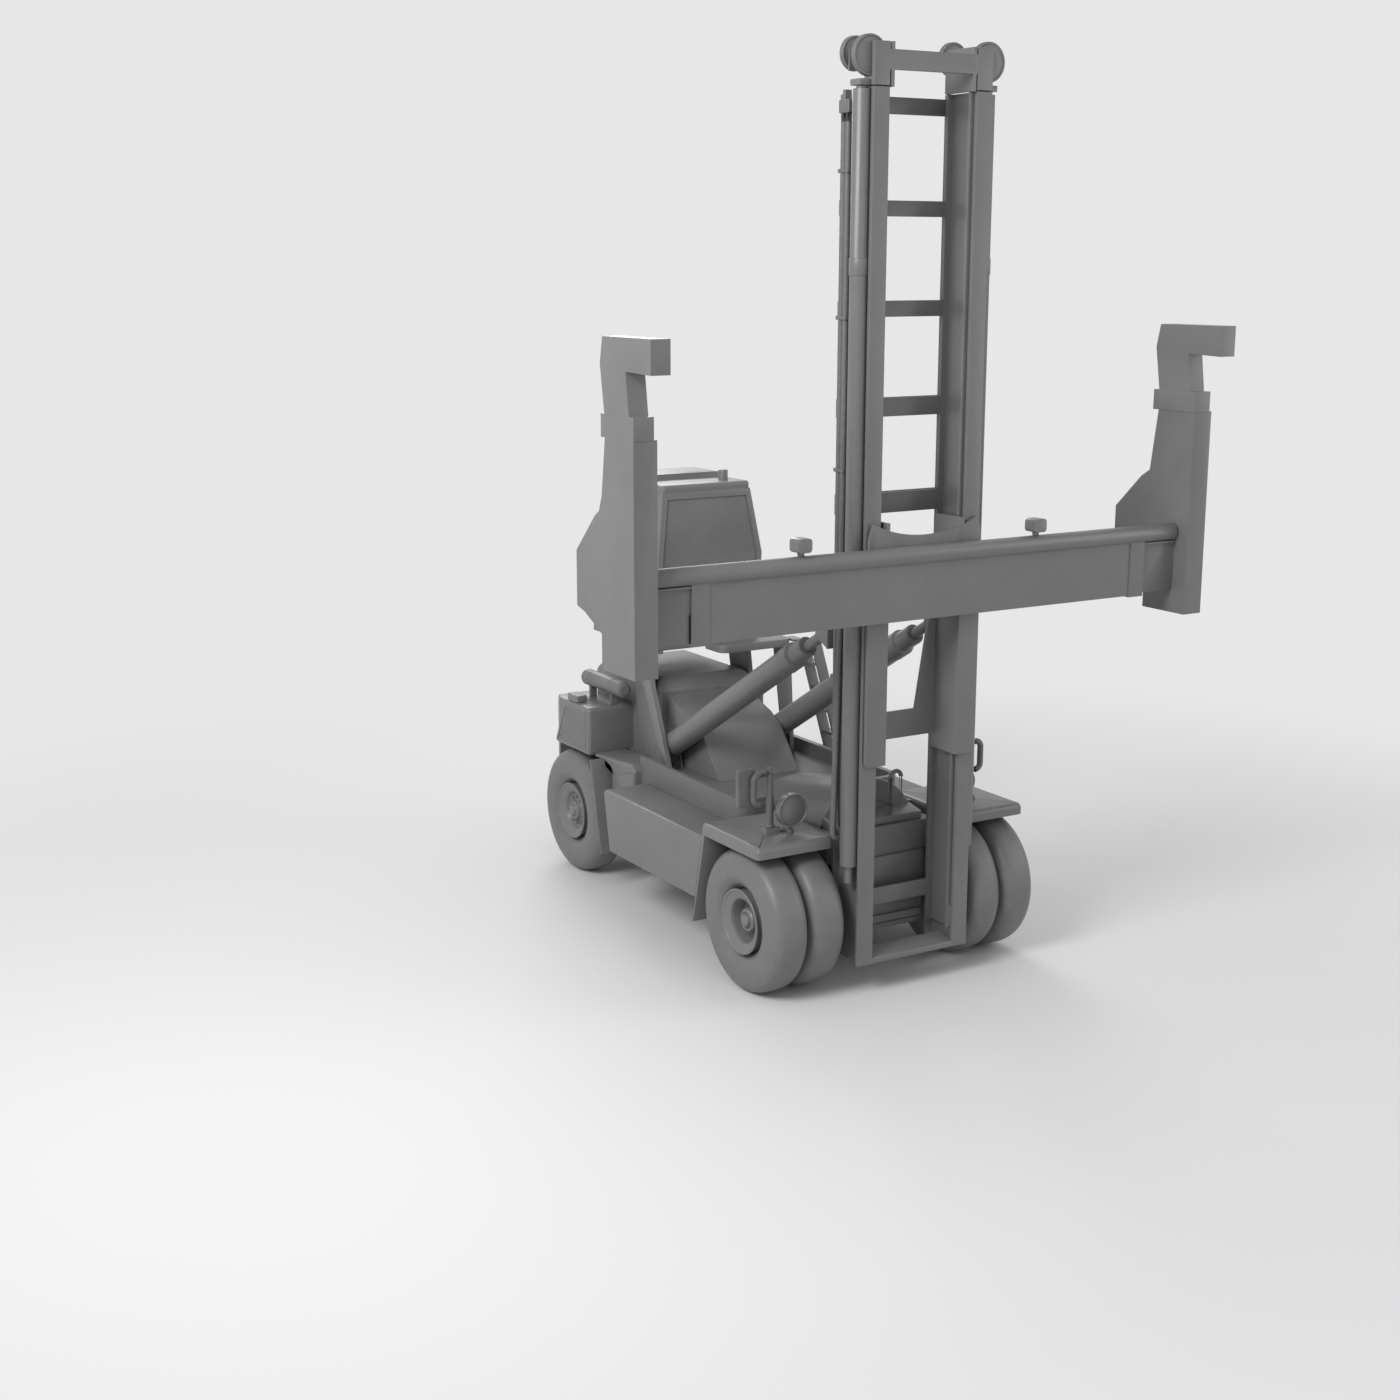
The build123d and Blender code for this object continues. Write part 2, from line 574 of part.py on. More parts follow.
# Moving rails: channels that run inside the fixed ones on pads at their feet and middles
inner_web_out = web_outer - web_wall - rail_gap
inner_front = flange_wall + rail_gap
inner_back = mast_depth - flange_wall - rail_gap
with BuildPart() as inner_uprights:
    for side in sides:
        slab(span(side, inner_web_out - 25, inner_web_out), (inner_front, inner_back),
             (460, mast_top))
        for y in (inner_front, inner_back - 30):
            slab(span(side, 425, inner_web_out), (y, y + 30), (460, mast_top))
        for z in (480, 4000):
            slab(span(side, 440, 490), (flange_wall + seat, inner_front), (z, z + 200))
            slab(span(side, 440, 490), (inner_back, mast_depth - flange_wall - seat), (z, z + 200))
inner_uprights.part.label = "inner_uprights"
export_step(inner_uprights.part, "parts/inner_uprights.step")

with BuildPart() as inner_ties:
    for low, high in tie_levels[1:] + [(700, 860)]:
        slab((-425, 425), (inner_back - 30, inner_back), (low, high))
inner_ties.part.label = "inner_ties"
export_step(inner_ties.part, "parts/inner_ties.step")

# Head of the moving rails: cheeks on the rails' tops, front plates, rod seats and the bar between
cheek = 405
with BuildPart() as inner_head:
    for side in sides:
        slab(span(side, cheek, cheek + 32), (0, inner_back), (mast_top, head_top))
        slab(span(side, mast_half - flange_width, mast_half), (0, flange_wall), (mast_top + 10, head_top))
        slab(span(side, cheek, 710), (60, 200), (mast_top + 10, mast_top + 60))
        slab(span(side, cheek, 665), (112, 142), (8020, 8180))
        slab(span(side, cheek, 600), (inner_back - 15, inner_back), (8000, 8180))
    slab((-460, 460), (0, flange_wall), (7990, 8150))
inner_head.part.label = "inner_head"
export_step(inner_head.part, "parts/inner_head.step")

# Chain sheaves on their pins. Each pair: x, z, front, back, radius, pin front, pin back
sheave_rows = [(610, 8100, 48, 100, 168, flange_wall, 112), (507, 8146, 397, 450, 144, inner_back, 470)]
with BuildPart() as sheaves:
    for side in sides:
        for x, z, front, back, radius, pin_front, pin_back in sheave_rows:
            middle = (front + back) / 2
            round_bar((side * x, front, z), (side * x, back, z), radius)
            round_bar((side * x, middle - 14, z), (side * x, middle + 14, z), radius + 10, mode=Mode.SUBTRACT)
            round_bar((side * x, middle - 14, z), (side * x, middle + 14, z), radius - 18)
            round_bar((side * x, pin_front, z), (side * x, pin_back, z), 40)
sheaves.part.label = "sheaves"
export_step(sheaves.part, "parts/sheaves.step")

# Carriage: side plates on rollers in the moving rails, front plates and ties
plate_out = carriage_plate_x + carriage_wall
with BuildPart() as carriage_frame:
    for side in sides:
        slab(span(side, carriage_plate_x, plate_out), (beam_back, 345), (carriage_foot, carriage_top))
        cross_plate([(side * carriage_plate_x, carriage_foot), (side * (carriage_half - 45), carriage_foot),
                     (side * (carriage_half - 13), carriage_foot + 13), (side * carriage_half, carriage_foot + 45),
                     (side * carriage_half, 3500), (side * carriage_plate_x, 3500)], (beam_back, -running))
        for z in (2400, 3250, 4100):
            round_bar((side * plate_out, (inner_front + inner_back) / 2, z),
                      (side * (inner_web_out - 25 - seat), (inner_front + inner_back) / 2, z),
                      (inner_back - inner_front) / 2 - 30 - seat)
    with BuildSketch(Plane.XZ.offset(-face + running)) as apron:
        with BuildLine():
            Polyline((-560, carriage_top), (-carriage_half, 4150), (-carriage_half, 3440), (carriage_half, 3440),
                     (carriage_half, 4150), (560, carriage_top))
            ThreePointArc((560, carriage_top), (0, 4155), (-560, carriage_top))
        make_face()
    extrude(amount=-beam_back - running)
    cross_plate([(-400, 2270), (400, 2270), (400, 3400), (330, 3400), (188, 2520), (-188, 2520),
                 (-330, 3400), (-400, 3400)], (300, 335))
carriage_frame.part.label = "carriage_frame"
export_step(carriage_frame.part, "parts/carriage_frame.step")

# Spreader housing: a hollow box with end bands and a round tube along its top
with BuildPart() as spreader_beam:
    slab((-beam_half, beam_half), (beam_front, beam_back), (beam_foot, beam_top))
    for side in sides:
        slab(span(side, beam_half - 168, beam_half), (beam_front - 12, beam_back), (beam_foot - 12, beam_top + 12))
    round_bar((20 - arm_inner, tube_y, tube_z), (arm_inner - 20, tube_y, tube_z), tube_radius)
    slab((-beam_half - 1, beam_half + 1), (beam_front + beam_wall, beam_back - beam_wall),
         (beam_foot + beam_wall, beam_top - beam_wall), mode=Mode.SUBTRACT)
spreader_beam.part.label = "spreader_beam"
export_step(spreader_beam.part, "parts/spreader_beam.step")

with BuildPart() as beam_lamps:
    for x in (-1354, 1154):
        round_bar((x, tube_y, tube_z + tube_radius), (x, tube_y, tube_z + 115), 30)
        slab((x - 70, x + 70), (tube_y - 70, tube_y + 70), (tube_z + 112, tube_z + 232))
    fillet(beam_lamps.edges().filter_by(Axis.Y), 32)
beam_lamps.part.label = "beam_lamps"
export_step(beam_lamps.part, "parts/beam_lamps.step")

# Sliding beams, one over the other in the housing, with a full stub at the arm.
# Each row: name, side, foot, top
slide_rows = [("inner_beam_left", 1, 3455, 3675), ("inner_beam_right", -1, 3685, 3905)]
for name, side, low, high in slide_rows:
    with BuildPart() as inner_beam:
        slab(span(side, 328 - beam_half, beam_half + 22), (beam_front + 15, beam_back - 15), (low, high))
        slab(span(side, beam_half + running, arm_inner), (beam_front + 15, beam_back - 15), (3455, 3905))
        slab(span(side, 328 - beam_half, 528 - beam_half), (beam_front + beam_wall + seat, beam_back - beam_wall - seat), (low, high))
        slab(span(side, beam_half - 208, beam_half - 28), (beam_front + beam_wall + seat, beam_back - beam_wall - seat), (low, high))
    inner_beam.part.label = name
    export_step(inner_beam.part, f"parts/{name}.step")

# Arms: a tall blade, a collar and a hook head that faces forwards.
# Each row: name, side, near and far face of the hook head
blade = [(-317, 3235), (235, 3235), (235, 3528), (526, 3663), (667, 3700), (667, 4160), (337, 4477),
         (227, 4546), (148, 5120), (-317, 5120)]
hook = [(-250, 5290), (-199, 5640), (-598, 5628), (-598, 5899), (175, 5899), (220, 5690), (152, 5290)]
arm_rows = [("arm_left", 1, arm_inner, arm_outer - 39), ("arm_right", -1, arm_inner + 39, arm_outer)]
for name, side, near, far in arm_rows:
    with BuildPart() as arm:
        side_plate(blade, span(side, arm_inner, arm_outer))
        slab(span(side, near - 8, far + 8 if far < arm_outer else arm_outer), (-322, 214), (5115, 5300))
        side_plate(hook, span(side, near, far))
    arm.part.label = name
    export_step(arm.part, f"parts/{name}.step")

# Tilt cylinders, along the line from the deck pivot to the mast pin
tilt_run = hypot(tilt_eye[0] - tilt_base[0], tilt_eye[1] - tilt_base[1])


def along(distance):
    """Return y and z at a distance from the deck pivot towards the mast pin."""
    share = distance / tilt_run
    return (tilt_base[0] + share * (tilt_eye[0] - tilt_base[0]),
            tilt_base[1] + share * (tilt_eye[1] - tilt_base[1]))


for name, side in (("left", 1), ("right", -1)):
    x = side * tilt_x
    with BuildPart() as barrel:
        round_bar((x - 70, *tilt_base), (x + 70, *tilt_base), 75)
        round_bar((x, *along(0)), (x, *along(120)), 68)
        round_bar((x, *along(110)), (x, *along(tilt_barrel_length)), tilt_barrel_radius)
        round_bar((x, *along(tilt_barrel_length - 170)), (x, *along(tilt_barrel_length)), tilt_barrel_radius + 4)
        round_bar((x, *along(tilt_barrel_length)), (x, *along(tilt_barrel_length + tilt_gland)), 98)
        round_bar((x, *along(tilt_barrel_length - 1480)), (x, *along(tilt_barrel_length + tilt_gland + 1)),
                  tilt_rod_radius + seat, mode=Mode.SUBTRACT)
        round_bar((x - 71, *tilt_base), (x + 71, *tilt_base), tilt_pin_radius + seat, mode=Mode.SUBTRACT)
    barrel.part.label = f"tilt_barrel_{name}"
    export_step(barrel.part, f"parts/tilt_barrel_{name}.step")

    with BuildPart() as rod:
        round_bar((x, *along(tilt_barrel_length - 1180)), (x, *along(tilt_run - 72)), tilt_rod_radius)
        round_bar((x - 45, *tilt_eye), (x + 45, *tilt_eye), 85)
        round_bar((x - 46, *tilt_eye), (x + 46, *tilt_eye), tilt_pin_radius + 15, mode=Mode.SUBTRACT)
    rod.part.label = f"tilt_rod_{name}"
    export_step(rod.part, f"parts/tilt_rod_{name}.step")

# Hoses clipped down the outside of the fixed rails, each ending in a short return loop
with BuildPart() as mast_hoses:
    for side in sides:
        with BuildLine() as route:
            FilletPolyline((side * 645, face + 300, 4800), (side * 645, face + 300, 3400),
                           (side * 700, face + 280, 2200), (side * 735, face + 260, 1480),
                           (side * 670, face + 250, 1440), (side * 645, face + 250, 1560), radius=35)
        with BuildSketch(Plane(origin=route.line @ 0, z_dir=route.line % 0)):
            Circle(22)
        sweep()
        for z in (3500, 4700):
            slab(span(side, web_outer, 670), (270, 330), (z, z + 30))
mast_hoses.part.label = "mast_hoses"
export_step(mast_hoses.part, "parts/mast_hoses.step")

# Wheels. Tyres sit on their rims face to face
for name, side in (("left", 1), ("right", -1)):
    with BuildPart() as twin_tyres:
        tyre(twin_outer, side, front_axle)
        tyre(twin_outer - tyre_width - twin_gap, side, front_axle)
    twin_tyres.part.label = f"front_tyres_{name}"
    export_step(twin_tyres.part, f"parts/front_tyres_{name}.step")

    rim_in = twin_outer - 2 * tyre_width - twin_gap + 5
    rim_out = twin_outer - 10
    rim_bore = rim_radius - rim_wall
    with BuildPart() as twin_rims:
        turned([(side * rim_in, rim_radius), (side * rim_out, rim_radius), (side * rim_out, rim_bore),
                (side * 1250, rim_bore - 15), (side * 1210, 200), (side * 1210, 125), (side * 1350, 110),
                (side * 1370, 80), (side * 1370, 0), (side * 1300, 0), (side * 1300, 90 + seat),
                (side * 1100, 90 + seat), (side * 1100, 130), (side * 1160, 200),
                (side * 1190, rim_bore), (side * rim_in, rim_bore)], front_axle, tyre_radius)
    twin_rims.part.label = f"front_rims_{name}"
    export_step(twin_rims.part, f"parts/front_rims_{name}.step")

    with BuildPart() as rear_tyre:
        tyre(steer_outer, side, steer_axle)
    rear_tyre.part.label = f"rear_tyre_{name}"
    export_step(rear_tyre.part, f"parts/rear_tyre_{name}.step")

    with BuildPart() as rear_rim:
        turned([(side * (steer_outer - tyre_width + 5), rim_radius), (side * (steer_outer - 10), rim_radius),
                (side * (steer_outer - 10), rim_bore), (side * 1030, rim_bore - 15), (side * 1010, 200),
                (side * 1010, 110), (side * 1060, 100), (side * 1075, 70), (side * 1075, 0),
                (side * 1045, 0), (side * 1045, 60 + seat), (side * 930, 60 + seat), (side * 930, 110),
                (side * 970, 200), (side * 990, rim_bore), (side * (steer_outer - tyre_width + 5), rim_bore)],
               steer_axle, tyre_radius)
    rear_rim.part.label = f"rear_rim_{name}"
    export_step(rear_rim.part, f"parts/rear_rim_{name}.step")

    x = side * kingpin_x
    with BuildPart() as knuckle:
        for z in (554, 734):
            round_bar((x, steer_axle, z), (x, steer_axle, z + 40), 80)
            slab(span(side, kingpin_x, kingpin_x + 125), (steer_axle - 80, steer_axle + 80), (z, z + 40))
        slab(span(side, kingpin_x + 90, kingpin_x + 125), (steer_axle - 80, steer_axle + 80), (554, 774))
        round_bar((x, steer_axle, 560), (x, steer_axle, 770), 40)
        round_bar((x + side * 100, steer_axle, tyre_radius), (side * 1040, steer_axle, tyre_radius), 60)
    knuckle.part.label = f"knuckle_{name}"
    export_step(knuckle.part, f"parts/knuckle_{name}.step")
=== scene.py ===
# %% [markdown]
# # An empty container handler in grey studio clay
#
# A mast truck for ports: two tall rails at the front, a telescopic spreader that hooks a container by its
# side corners, a cab on legs at the rear and twin wheels under the load. Its steel parts come from the CAD
# model. Here they get soft edges and a finish, and the parts with curved skins are drawn again as surfaces.

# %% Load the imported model
import json
from math import cos, pi, radians, sin, tau

import bmesh
import bpy
import numpy as np
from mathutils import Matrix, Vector


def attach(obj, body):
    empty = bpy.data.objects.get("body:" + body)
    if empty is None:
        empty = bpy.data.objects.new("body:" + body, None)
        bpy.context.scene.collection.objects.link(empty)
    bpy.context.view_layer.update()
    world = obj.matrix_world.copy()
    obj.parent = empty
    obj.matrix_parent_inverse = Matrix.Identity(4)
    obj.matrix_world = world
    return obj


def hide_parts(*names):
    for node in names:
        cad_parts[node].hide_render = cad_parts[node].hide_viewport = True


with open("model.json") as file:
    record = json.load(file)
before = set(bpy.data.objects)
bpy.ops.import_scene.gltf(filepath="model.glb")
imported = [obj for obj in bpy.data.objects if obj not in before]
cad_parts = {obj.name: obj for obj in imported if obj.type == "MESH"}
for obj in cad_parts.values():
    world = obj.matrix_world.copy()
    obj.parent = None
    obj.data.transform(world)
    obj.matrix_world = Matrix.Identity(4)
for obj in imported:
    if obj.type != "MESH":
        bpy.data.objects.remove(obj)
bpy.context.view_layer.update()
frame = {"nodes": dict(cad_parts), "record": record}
nodes = frame["nodes"]

# %% [markdown]
# The machine drives towards -Y and stands with its wheels on z = 0. Lengths along Y are easiest to read as
# distances behind the front face of the mast, so `back` turns such a distance into a place in the scene.
# Lengths along X are distances from the centre plane, and a side of 1 or -1 puts them on the left or right.

# %% Places that several pieces share
FACE = -2.551          # y of the mast's front face
TYRE_RADIUS = 0.664
TYRE_WIDTH = 0.370
RIM_RADIUS = 0.288     # where the tyre's bead sits
FRONT_AXLE = 0.679     # behind the mast's face
STEER_AXLE = 4.709
DECK = 1.380           # top of the hull between the wheels
SIDES = {"left": 1, "right": -1}


def back(distance):
    """Return the y of a point that lies distance behind the mast's front face."""
    return FACE + distance


print("front axle at y", round(back(FRONT_AXLE), 3), "steered axle at y", round(back(STEER_AXLE), 3))

# %% [markdown]
# The photograph looks down on the machine from ahead of its right front wheel. A 50 mm lens on a 36 mm
# film gives its perspective, and the camera tips down by almost thirteen degrees.

# %% Camera
CAMERA_PLACE = (-10.2038, -16.020, 6.4649)
TIPPED_DOWN = 12.711   # degrees
TURNED = -30.5603

camera_data = bpy.data.cameras.new("camera")
camera_data.lens = 50
camera_data.sensor_width = 36
camera_data.clip_end = 200
camera = bpy.data.objects.new("camera", camera_data)
camera.location = CAMERA_PLACE
camera.rotation_euler = (radians(90 - TIPPED_DOWN), 0, radians(TURNED))
bpy.context.scene.collection.objects.link(camera)
bpy.context.scene.camera = camera
bpy.context.scene.view_settings.view_transform = "Standard"
print("camera at", tuple(round(v, 2) for v in camera.location))

# %% [markdown]
# Shader maths reads best as plain sums, so a small class wraps a socket and adds a Math node for each
# operator. Every other kind of node is made by one method that takes its settings and its inputs. A finish
# is such a tree with a Principled shader in it.

# %% Socket maths and a node maker


class Value:
    """A number that changes over a surface. Sums on it add Math nodes."""

    def __init__(self, shading, socket):
        self.shading = shading
        self.socket = socket

    def math(self, operation, other):
        return self.shading.node("ShaderNodeMath", {"operation": operation}, [self, other])

    def __add__(self, other):
        return self.math("ADD", other)

    __radd__ = __add__

    def __mul__(self, other):
        return self.math("MULTIPLY", other)

    __rmul__ = __mul__

    def step(self, low, high):
        """Return 0 below low, 1 above high, and a smooth change between them."""
        settings = {"interpolation_type": "SMOOTHSTEP"}
        inputs = {"Value": self, "From Min": low, "From Max": high}
        return self.shading.node("ShaderNodeMapRange", settings, inputs)


class Shading:
    """A node tree and the method that adds nodes to it."""

    def __init__(self, tree):
        self.tree = tree

    def node(self, kind, settings, inputs, output=0):
        """Add a node, set its settings, feed its sockets and return one of its outputs."""
        made = self.tree.nodes.new(kind)
        for key, value in settings.items():
            setattr(made, key, value)
        pairs = inputs.items() if isinstance(inputs, dict) else enumerate(inputs)
        for key, value in pairs:
            if isinstance(value, Value):
                self.tree.links.new(value.socket, made.inputs[key])
            else:
                made.inputs[key].default_value = value
        return Value(self, made.outputs[output])


class Finish(Shading):
    """One material, built from a Principled shader and the nodes that vary it."""

    def __init__(self, name, **constants):
        self.material = bpy.data.materials.new(name)
        self.material.use_nodes = True
        super().__init__(self.material.node_tree)
        self.shader = self.tree.nodes["Principled BSDF"]
        for socket, value in constants.items():
            self.shader.inputs[socket.replace("_", " ")].default_value = value
        self.place = self.node("ShaderNodeTexCoord", {}, {}, output="Object")

    def noise(self, scale, detail=3.0, roughness=0.5, stretch=None):
        """Return cloudy noise from 0 to 1 with about scale clouds in a metre."""
        place = self.place
        if stretch:
            place = self.node("ShaderNodeMapping", {}, {"Vector": place, "Scale": stretch})
        inputs = {"Vector": place, "Scale": scale, "Detail": detail, "Roughness": roughness}
        return self.node("ShaderNodeTexNoise", {}, inputs)

    def blend(self, amount, first, second):
        """Return a colour that goes from first to second as amount goes from 0 to 1.

        A Mix node has sockets for numbers and vectors too: its colours are inputs 6 and 7 and output 2.
        """
        return self.node("ShaderNodeMix", {"data_type": "RGBA"}, {0: amount, 6: first, 7: second}, output=2)

    def feed(self, socket, value):
        """Link a value to a socket of the Principled shader."""
        self.tree.links.new(value.socket, self.shader.inputs[socket])

    def relief(self, height, depth, strength):
        """Raise the surface by height times depth metres through a Bump node."""
        inputs = {"Strength": strength, "Distance": depth, "Height": height}
        self.feed("Normal", self.node("ShaderNodeBump", {}, inputs, output="Normal"))


def grey(level):
    """Return an opaque RGBA grey."""
    return (level, level, level, 1.0)


print("shader helpers ready")

# %% [markdown]
# The photograph shows one grey clay for the whole machine: mid grey, half glossy, with soft highlights. The
# finishes keep to that grey. Paint, rubber, ground steel and glass differ from each other a little in tone
# and more in gloss, and each has the small marks that its material shows. All tones are shares of one grey.

# %% A palette round one grey
PAINT = 0.16
FINISHES = {}


def finish(name, **constants):
    """Start a finish and keep its material under its name."""
    made = Finish(name, **constants)
    FINISHES[name] = made.material
    return made


def shade(surface, amount, dark, light, level=PAINT):
    """Feed Base Color with greys from dark to light, both shares of level, as amount goes from 0 to 1."""
    surface.feed("Base Color", surface.blend(amount, grey(level * dark), grey(level * light)))


print("paint is grey", PAINT)

# %% [markdown]
# Sprayed paint has faint clouds of tone, dust that makes it dull in patches, and the fine bumps that sprayers
# call orange peel. The rims and the frame get the same recipe with their own tone and gloss.

# %% Paint
ORANGE_PEEL = 320.0    # bumps in a metre


def painted(name, level, rough):
    """Make a grey sprayed paint: faint clouds of tone, dust in the roughness and orange peel."""
    paint = finish(name, Roughness=rough, IOR=1.5)
    clouds = paint.noise(1.1, detail=4.0)
    patches = paint.noise(6.0, detail=5.0, roughness=0.6)
    tone = clouds * 0.6 + patches * 0.4
    shade(paint, tone.step(0.3, 0.7), 0.93, 1.06, level)
    paint.feed("Roughness", rough - 0.05 + patches * 0.12)
    paint.relief(paint.noise(ORANGE_PEEL, detail=2.0), depth=0.0004, strength=0.25)


painted("machine_paint", PAINT, 0.36)
painted("frame_paint", PAINT * 0.92, 0.42)
painted("rim_paint", PAINT * 1.02, 0.36)
print("paints:", len(FINISHES))

# %% [markdown]
# Tyre rubber has a fine grain and broad scuffs, and hose rubber is smoother and a little darker. Ground steel
# shows faint lines along X: noise that is drawn out eight times longer that way than across.

# %% Rubber and steel
rubber = finish("tyre_rubber", Roughness=0.45)
scuffs = rubber.noise(9.0, detail=6.0, roughness=0.65)
shade(rubber, scuffs.step(0.35, 0.7), 0.92, 1.02)
rubber.feed("Roughness", 0.36 + scuffs * 0.18)
rubber.relief(rubber.noise(260.0, detail=2.0), depth=0.0006, strength=0.4)

hose = finish("hose_rubber", Roughness=0.5)
shade(hose, hose.noise(20.0).step(0.3, 0.7), 0.80, 0.92)
hose.relief(hose.noise(900.0), depth=0.0003, strength=0.4)

steel = finish("bare_steel", Metallic=0.1, Roughness=0.45)
lines = steel.noise(60.0, stretch=(1.0, 8.0, 8.0))
shade(steel, lines.step(0.3, 0.7), 0.98, 1.12)
steel.feed("Roughness", 0.36 + lines * 0.16)
steel.relief(lines, depth=0.0002, strength=0.3)
print("finishes:", ", ".join(FINISHES))

# %% [markdown]
# The cab's glass is nearly as grey as the paint, as clay is, and dust makes it a little duller and denser.
# Lamp bodies are glossier than paint. The seat has a woven cover, two crossed waves, and the trim is pebbled.

# %% Lamps, glass, cloth and plastic
lamp = finish("lamp_body", Roughness=0.25)
shade(lamp, lamp.noise(7.0).step(0.3, 0.7), 0.97, 1.05)
lamp.feed("Roughness", 0.26 + lamp.noise(24.0) * 0.06)

glass = finish("cab_glass", Roughness=0.08, IOR=1.5)
dust = glass.noise(3.0, detail=6.0, roughness=0.6)
shade(glass, dust.step(0.3, 0.8), 0.98, 1.08)
glass.feed("Roughness", 0.12 + dust * 0.16)
glass.feed("Alpha", 0.94 + dust * 0.06)

fabric = finish("seat_fabric", Roughness=0.9)
weave_place = {"Vector": fabric.place, "Scale": 90.0}
threads = fabric.node("ShaderNodeTexWave", {"bands_direction": "X"}, weave_place)
crossing = fabric.node("ShaderNodeTexWave", {"bands_direction": "Z"}, weave_place)
weave = threads * crossing
shade(fabric, weave, 0.40, 0.65)
fabric.relief(weave, depth=0.0012, strength=0.5)

plastic = finish("trim_plastic", Roughness=0.6)
shade(plastic, plastic.noise(12.0).step(0.3, 0.7), 0.86, 0.98)
plastic.relief(plastic.noise(420.0, detail=1.0), depth=0.0006, strength=0.5)
print("finishes:", ", ".join(FINISHES))

# %% [markdown]
# The CAD record says which slot each node has, and here each slot gets its finish. The record also says which
# body carries a node, which a new piece has to know to move with it.

# %% Give every CAD node the finish of its slot
slot_of = {row["node"]: row["material_slot"] for row in frame["record"]["subparts"]}
for name, node in nodes.items():
    node.data.materials.clear()
    node.data.materials.append(FINISHES[slot_of[name]])


def body_of(name):
    """Return the body that carries a CAD node."""
    bodies = frame["record"]["behaviour"]["bodies"]
    return next(body for body, group in bodies.items() if name in group)


print("nodes with a finish:", len(slot_of))

# %% [markdown]
# Rolled and welded steel has no razor edges: light catches on a small radius along each one. A copy of a
# node's mesh is merged, its flat faces are joined, and a Bevel modifier rounds the edges. The copy stands
# for the node, so the CAD mesh itself stays as it is.

# %% Soft edges on the steelwork
FLAT = radians(1.5)        # faces that turn by less are joined
SHARP = radians(32)        # edges that turn by more are rounded


def softened(name, width):
    """Replace a node by a copy of its mesh with its sharp edges rounded by width metres."""
    mesh = nodes[name].data.copy()
    mesh.name = name + "_skin"
    shape = bmesh.new()
    shape.from_mesh(mesh)
    bmesh.ops.remove_doubles(shape, verts=shape.verts, dist=1e-5)
    bmesh.ops.dissolve_limit(shape, angle_limit=FLAT, verts=shape.verts, edges=shape.edges)
    shape.to_mesh(mesh)
    shape.free()
    mesh.polygons.foreach_set("use_smooth", np.ones(len(mesh.polygons), dtype=bool))
    piece = bpy.data.objects.new(name + "_skin", mesh)
    bpy.context.scene.collection.objects.link(piece)
    bevel = piece.modifiers.new("edges", "BEVEL")
    bevel.width = width
    bevel.segments = 3
    bevel.limit_method = "ANGLE"
    bevel.angle_limit = SHARP
    bevel.use_clamp_overlap = True
    bevel.harden_normals = True
    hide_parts(name)
    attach(piece, body_of(name))


print("edge helper ready")

# %% [markdown]
# A curved skin is a function of two parameters. The rows and columns of a numpy array hold its points, and
# one helper turns any such grid into a mesh, joining the last row or column to the first where it is round.

# %% From a grid of points to a mesh


def skin(name, points, body, slot, replaces=(), round_rows=False, round_columns=False):
    """Make one piece from grids of points with the shape rows, columns, 3.

    Point (i, j) has the number i * columns + j, and face (i, j) joins it to (i, j + 1), (i + 1, j + 1) and
    (i + 1, j). A round direction also joins its last line of points to its first.
    """
    grids = points if isinstance(points, list) else [points]
    vertices, faces, offset = [], [], 0
    for grid in grids:
        rows, columns = grid.shape[:2]
        i = np.arange(rows if round_rows else rows - 1)[:, None]
        j = np.arange(columns if round_columns else columns - 1)[None, :]
        below, beside = (i + 1) % rows, (j + 1) % columns
        corners = [i * columns + j, i * columns + beside, below * columns + beside, below * columns + j]
        quads = np.stack([np.broadcast_to(corner, (i.size, j.size)) for corner in corners], axis=-1)
        faces.append(quads.reshape(-1, 4) + offset)
        vertices.append(grid.reshape(-1, 3))
        offset += rows * columns
    vertices, faces = np.concatenate(vertices), np.concatenate(faces)
    mesh = bpy.data.meshes.new(name)
    mesh.vertices.add(len(vertices))
    mesh.vertices.foreach_set("co", vertices.astype(np.float32).ravel())
    mesh.loops.add(faces.size)
    mesh.loops.foreach_set("vertex_index", faces.astype(np.int32).ravel())
    mesh.polygons.add(len(faces))
    mesh.polygons.foreach_set("loop_start", np.arange(0, faces.size, 4, dtype=np.int32))
    mesh.update(calc_edges=True)
    return finished(name, mesh, body, slot, replaces)


def finished(name, mesh, body, slot, replaces):
    """Merge a mesh's doubles, point its faces outwards, and make it a piece that rides on a body."""
    shape = bmesh.new()
    shape.from_mesh(mesh)
    bmesh.ops.remove_doubles(shape, verts=shape.verts, dist=1e-6)
    bmesh.ops.dissolve_degenerate(shape, edges=shape.edges, dist=1e-7)
    bmesh.ops.recalc_face_normals(shape, faces=shape.faces)
    shape.to_mesh(mesh)
    shape.free()
    mesh.polygons.foreach_set("use_smooth", np.ones(len(mesh.polygons), dtype=bool))
    mesh.set_sharp_from_angle(angle=radians(38))
    mesh.materials.append(FINISHES[slot])
    piece = bpy.data.objects.new(name, mesh)
    bpy.context.scene.collection.objects.link(piece)
    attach(piece, body)
    if replaces:
        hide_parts(*replaces)
    print(name, "rides on", body, "with", len(mesh.polygons), "faces")
    return piece


print("mesh helpers ready")

# %% [markdown]
# Wheels, drums, pins and barrels are all turned on a lathe, so one function turns any profile about any axis.
# Real corners are rounded, so another puts an arc into each corner of an outline before it is used.

# %% Turned shapes and rounded outlines
AXES = {"x": (1, 0, 0), "y": (0, 1, 0), "z": (0, 0, 1)}


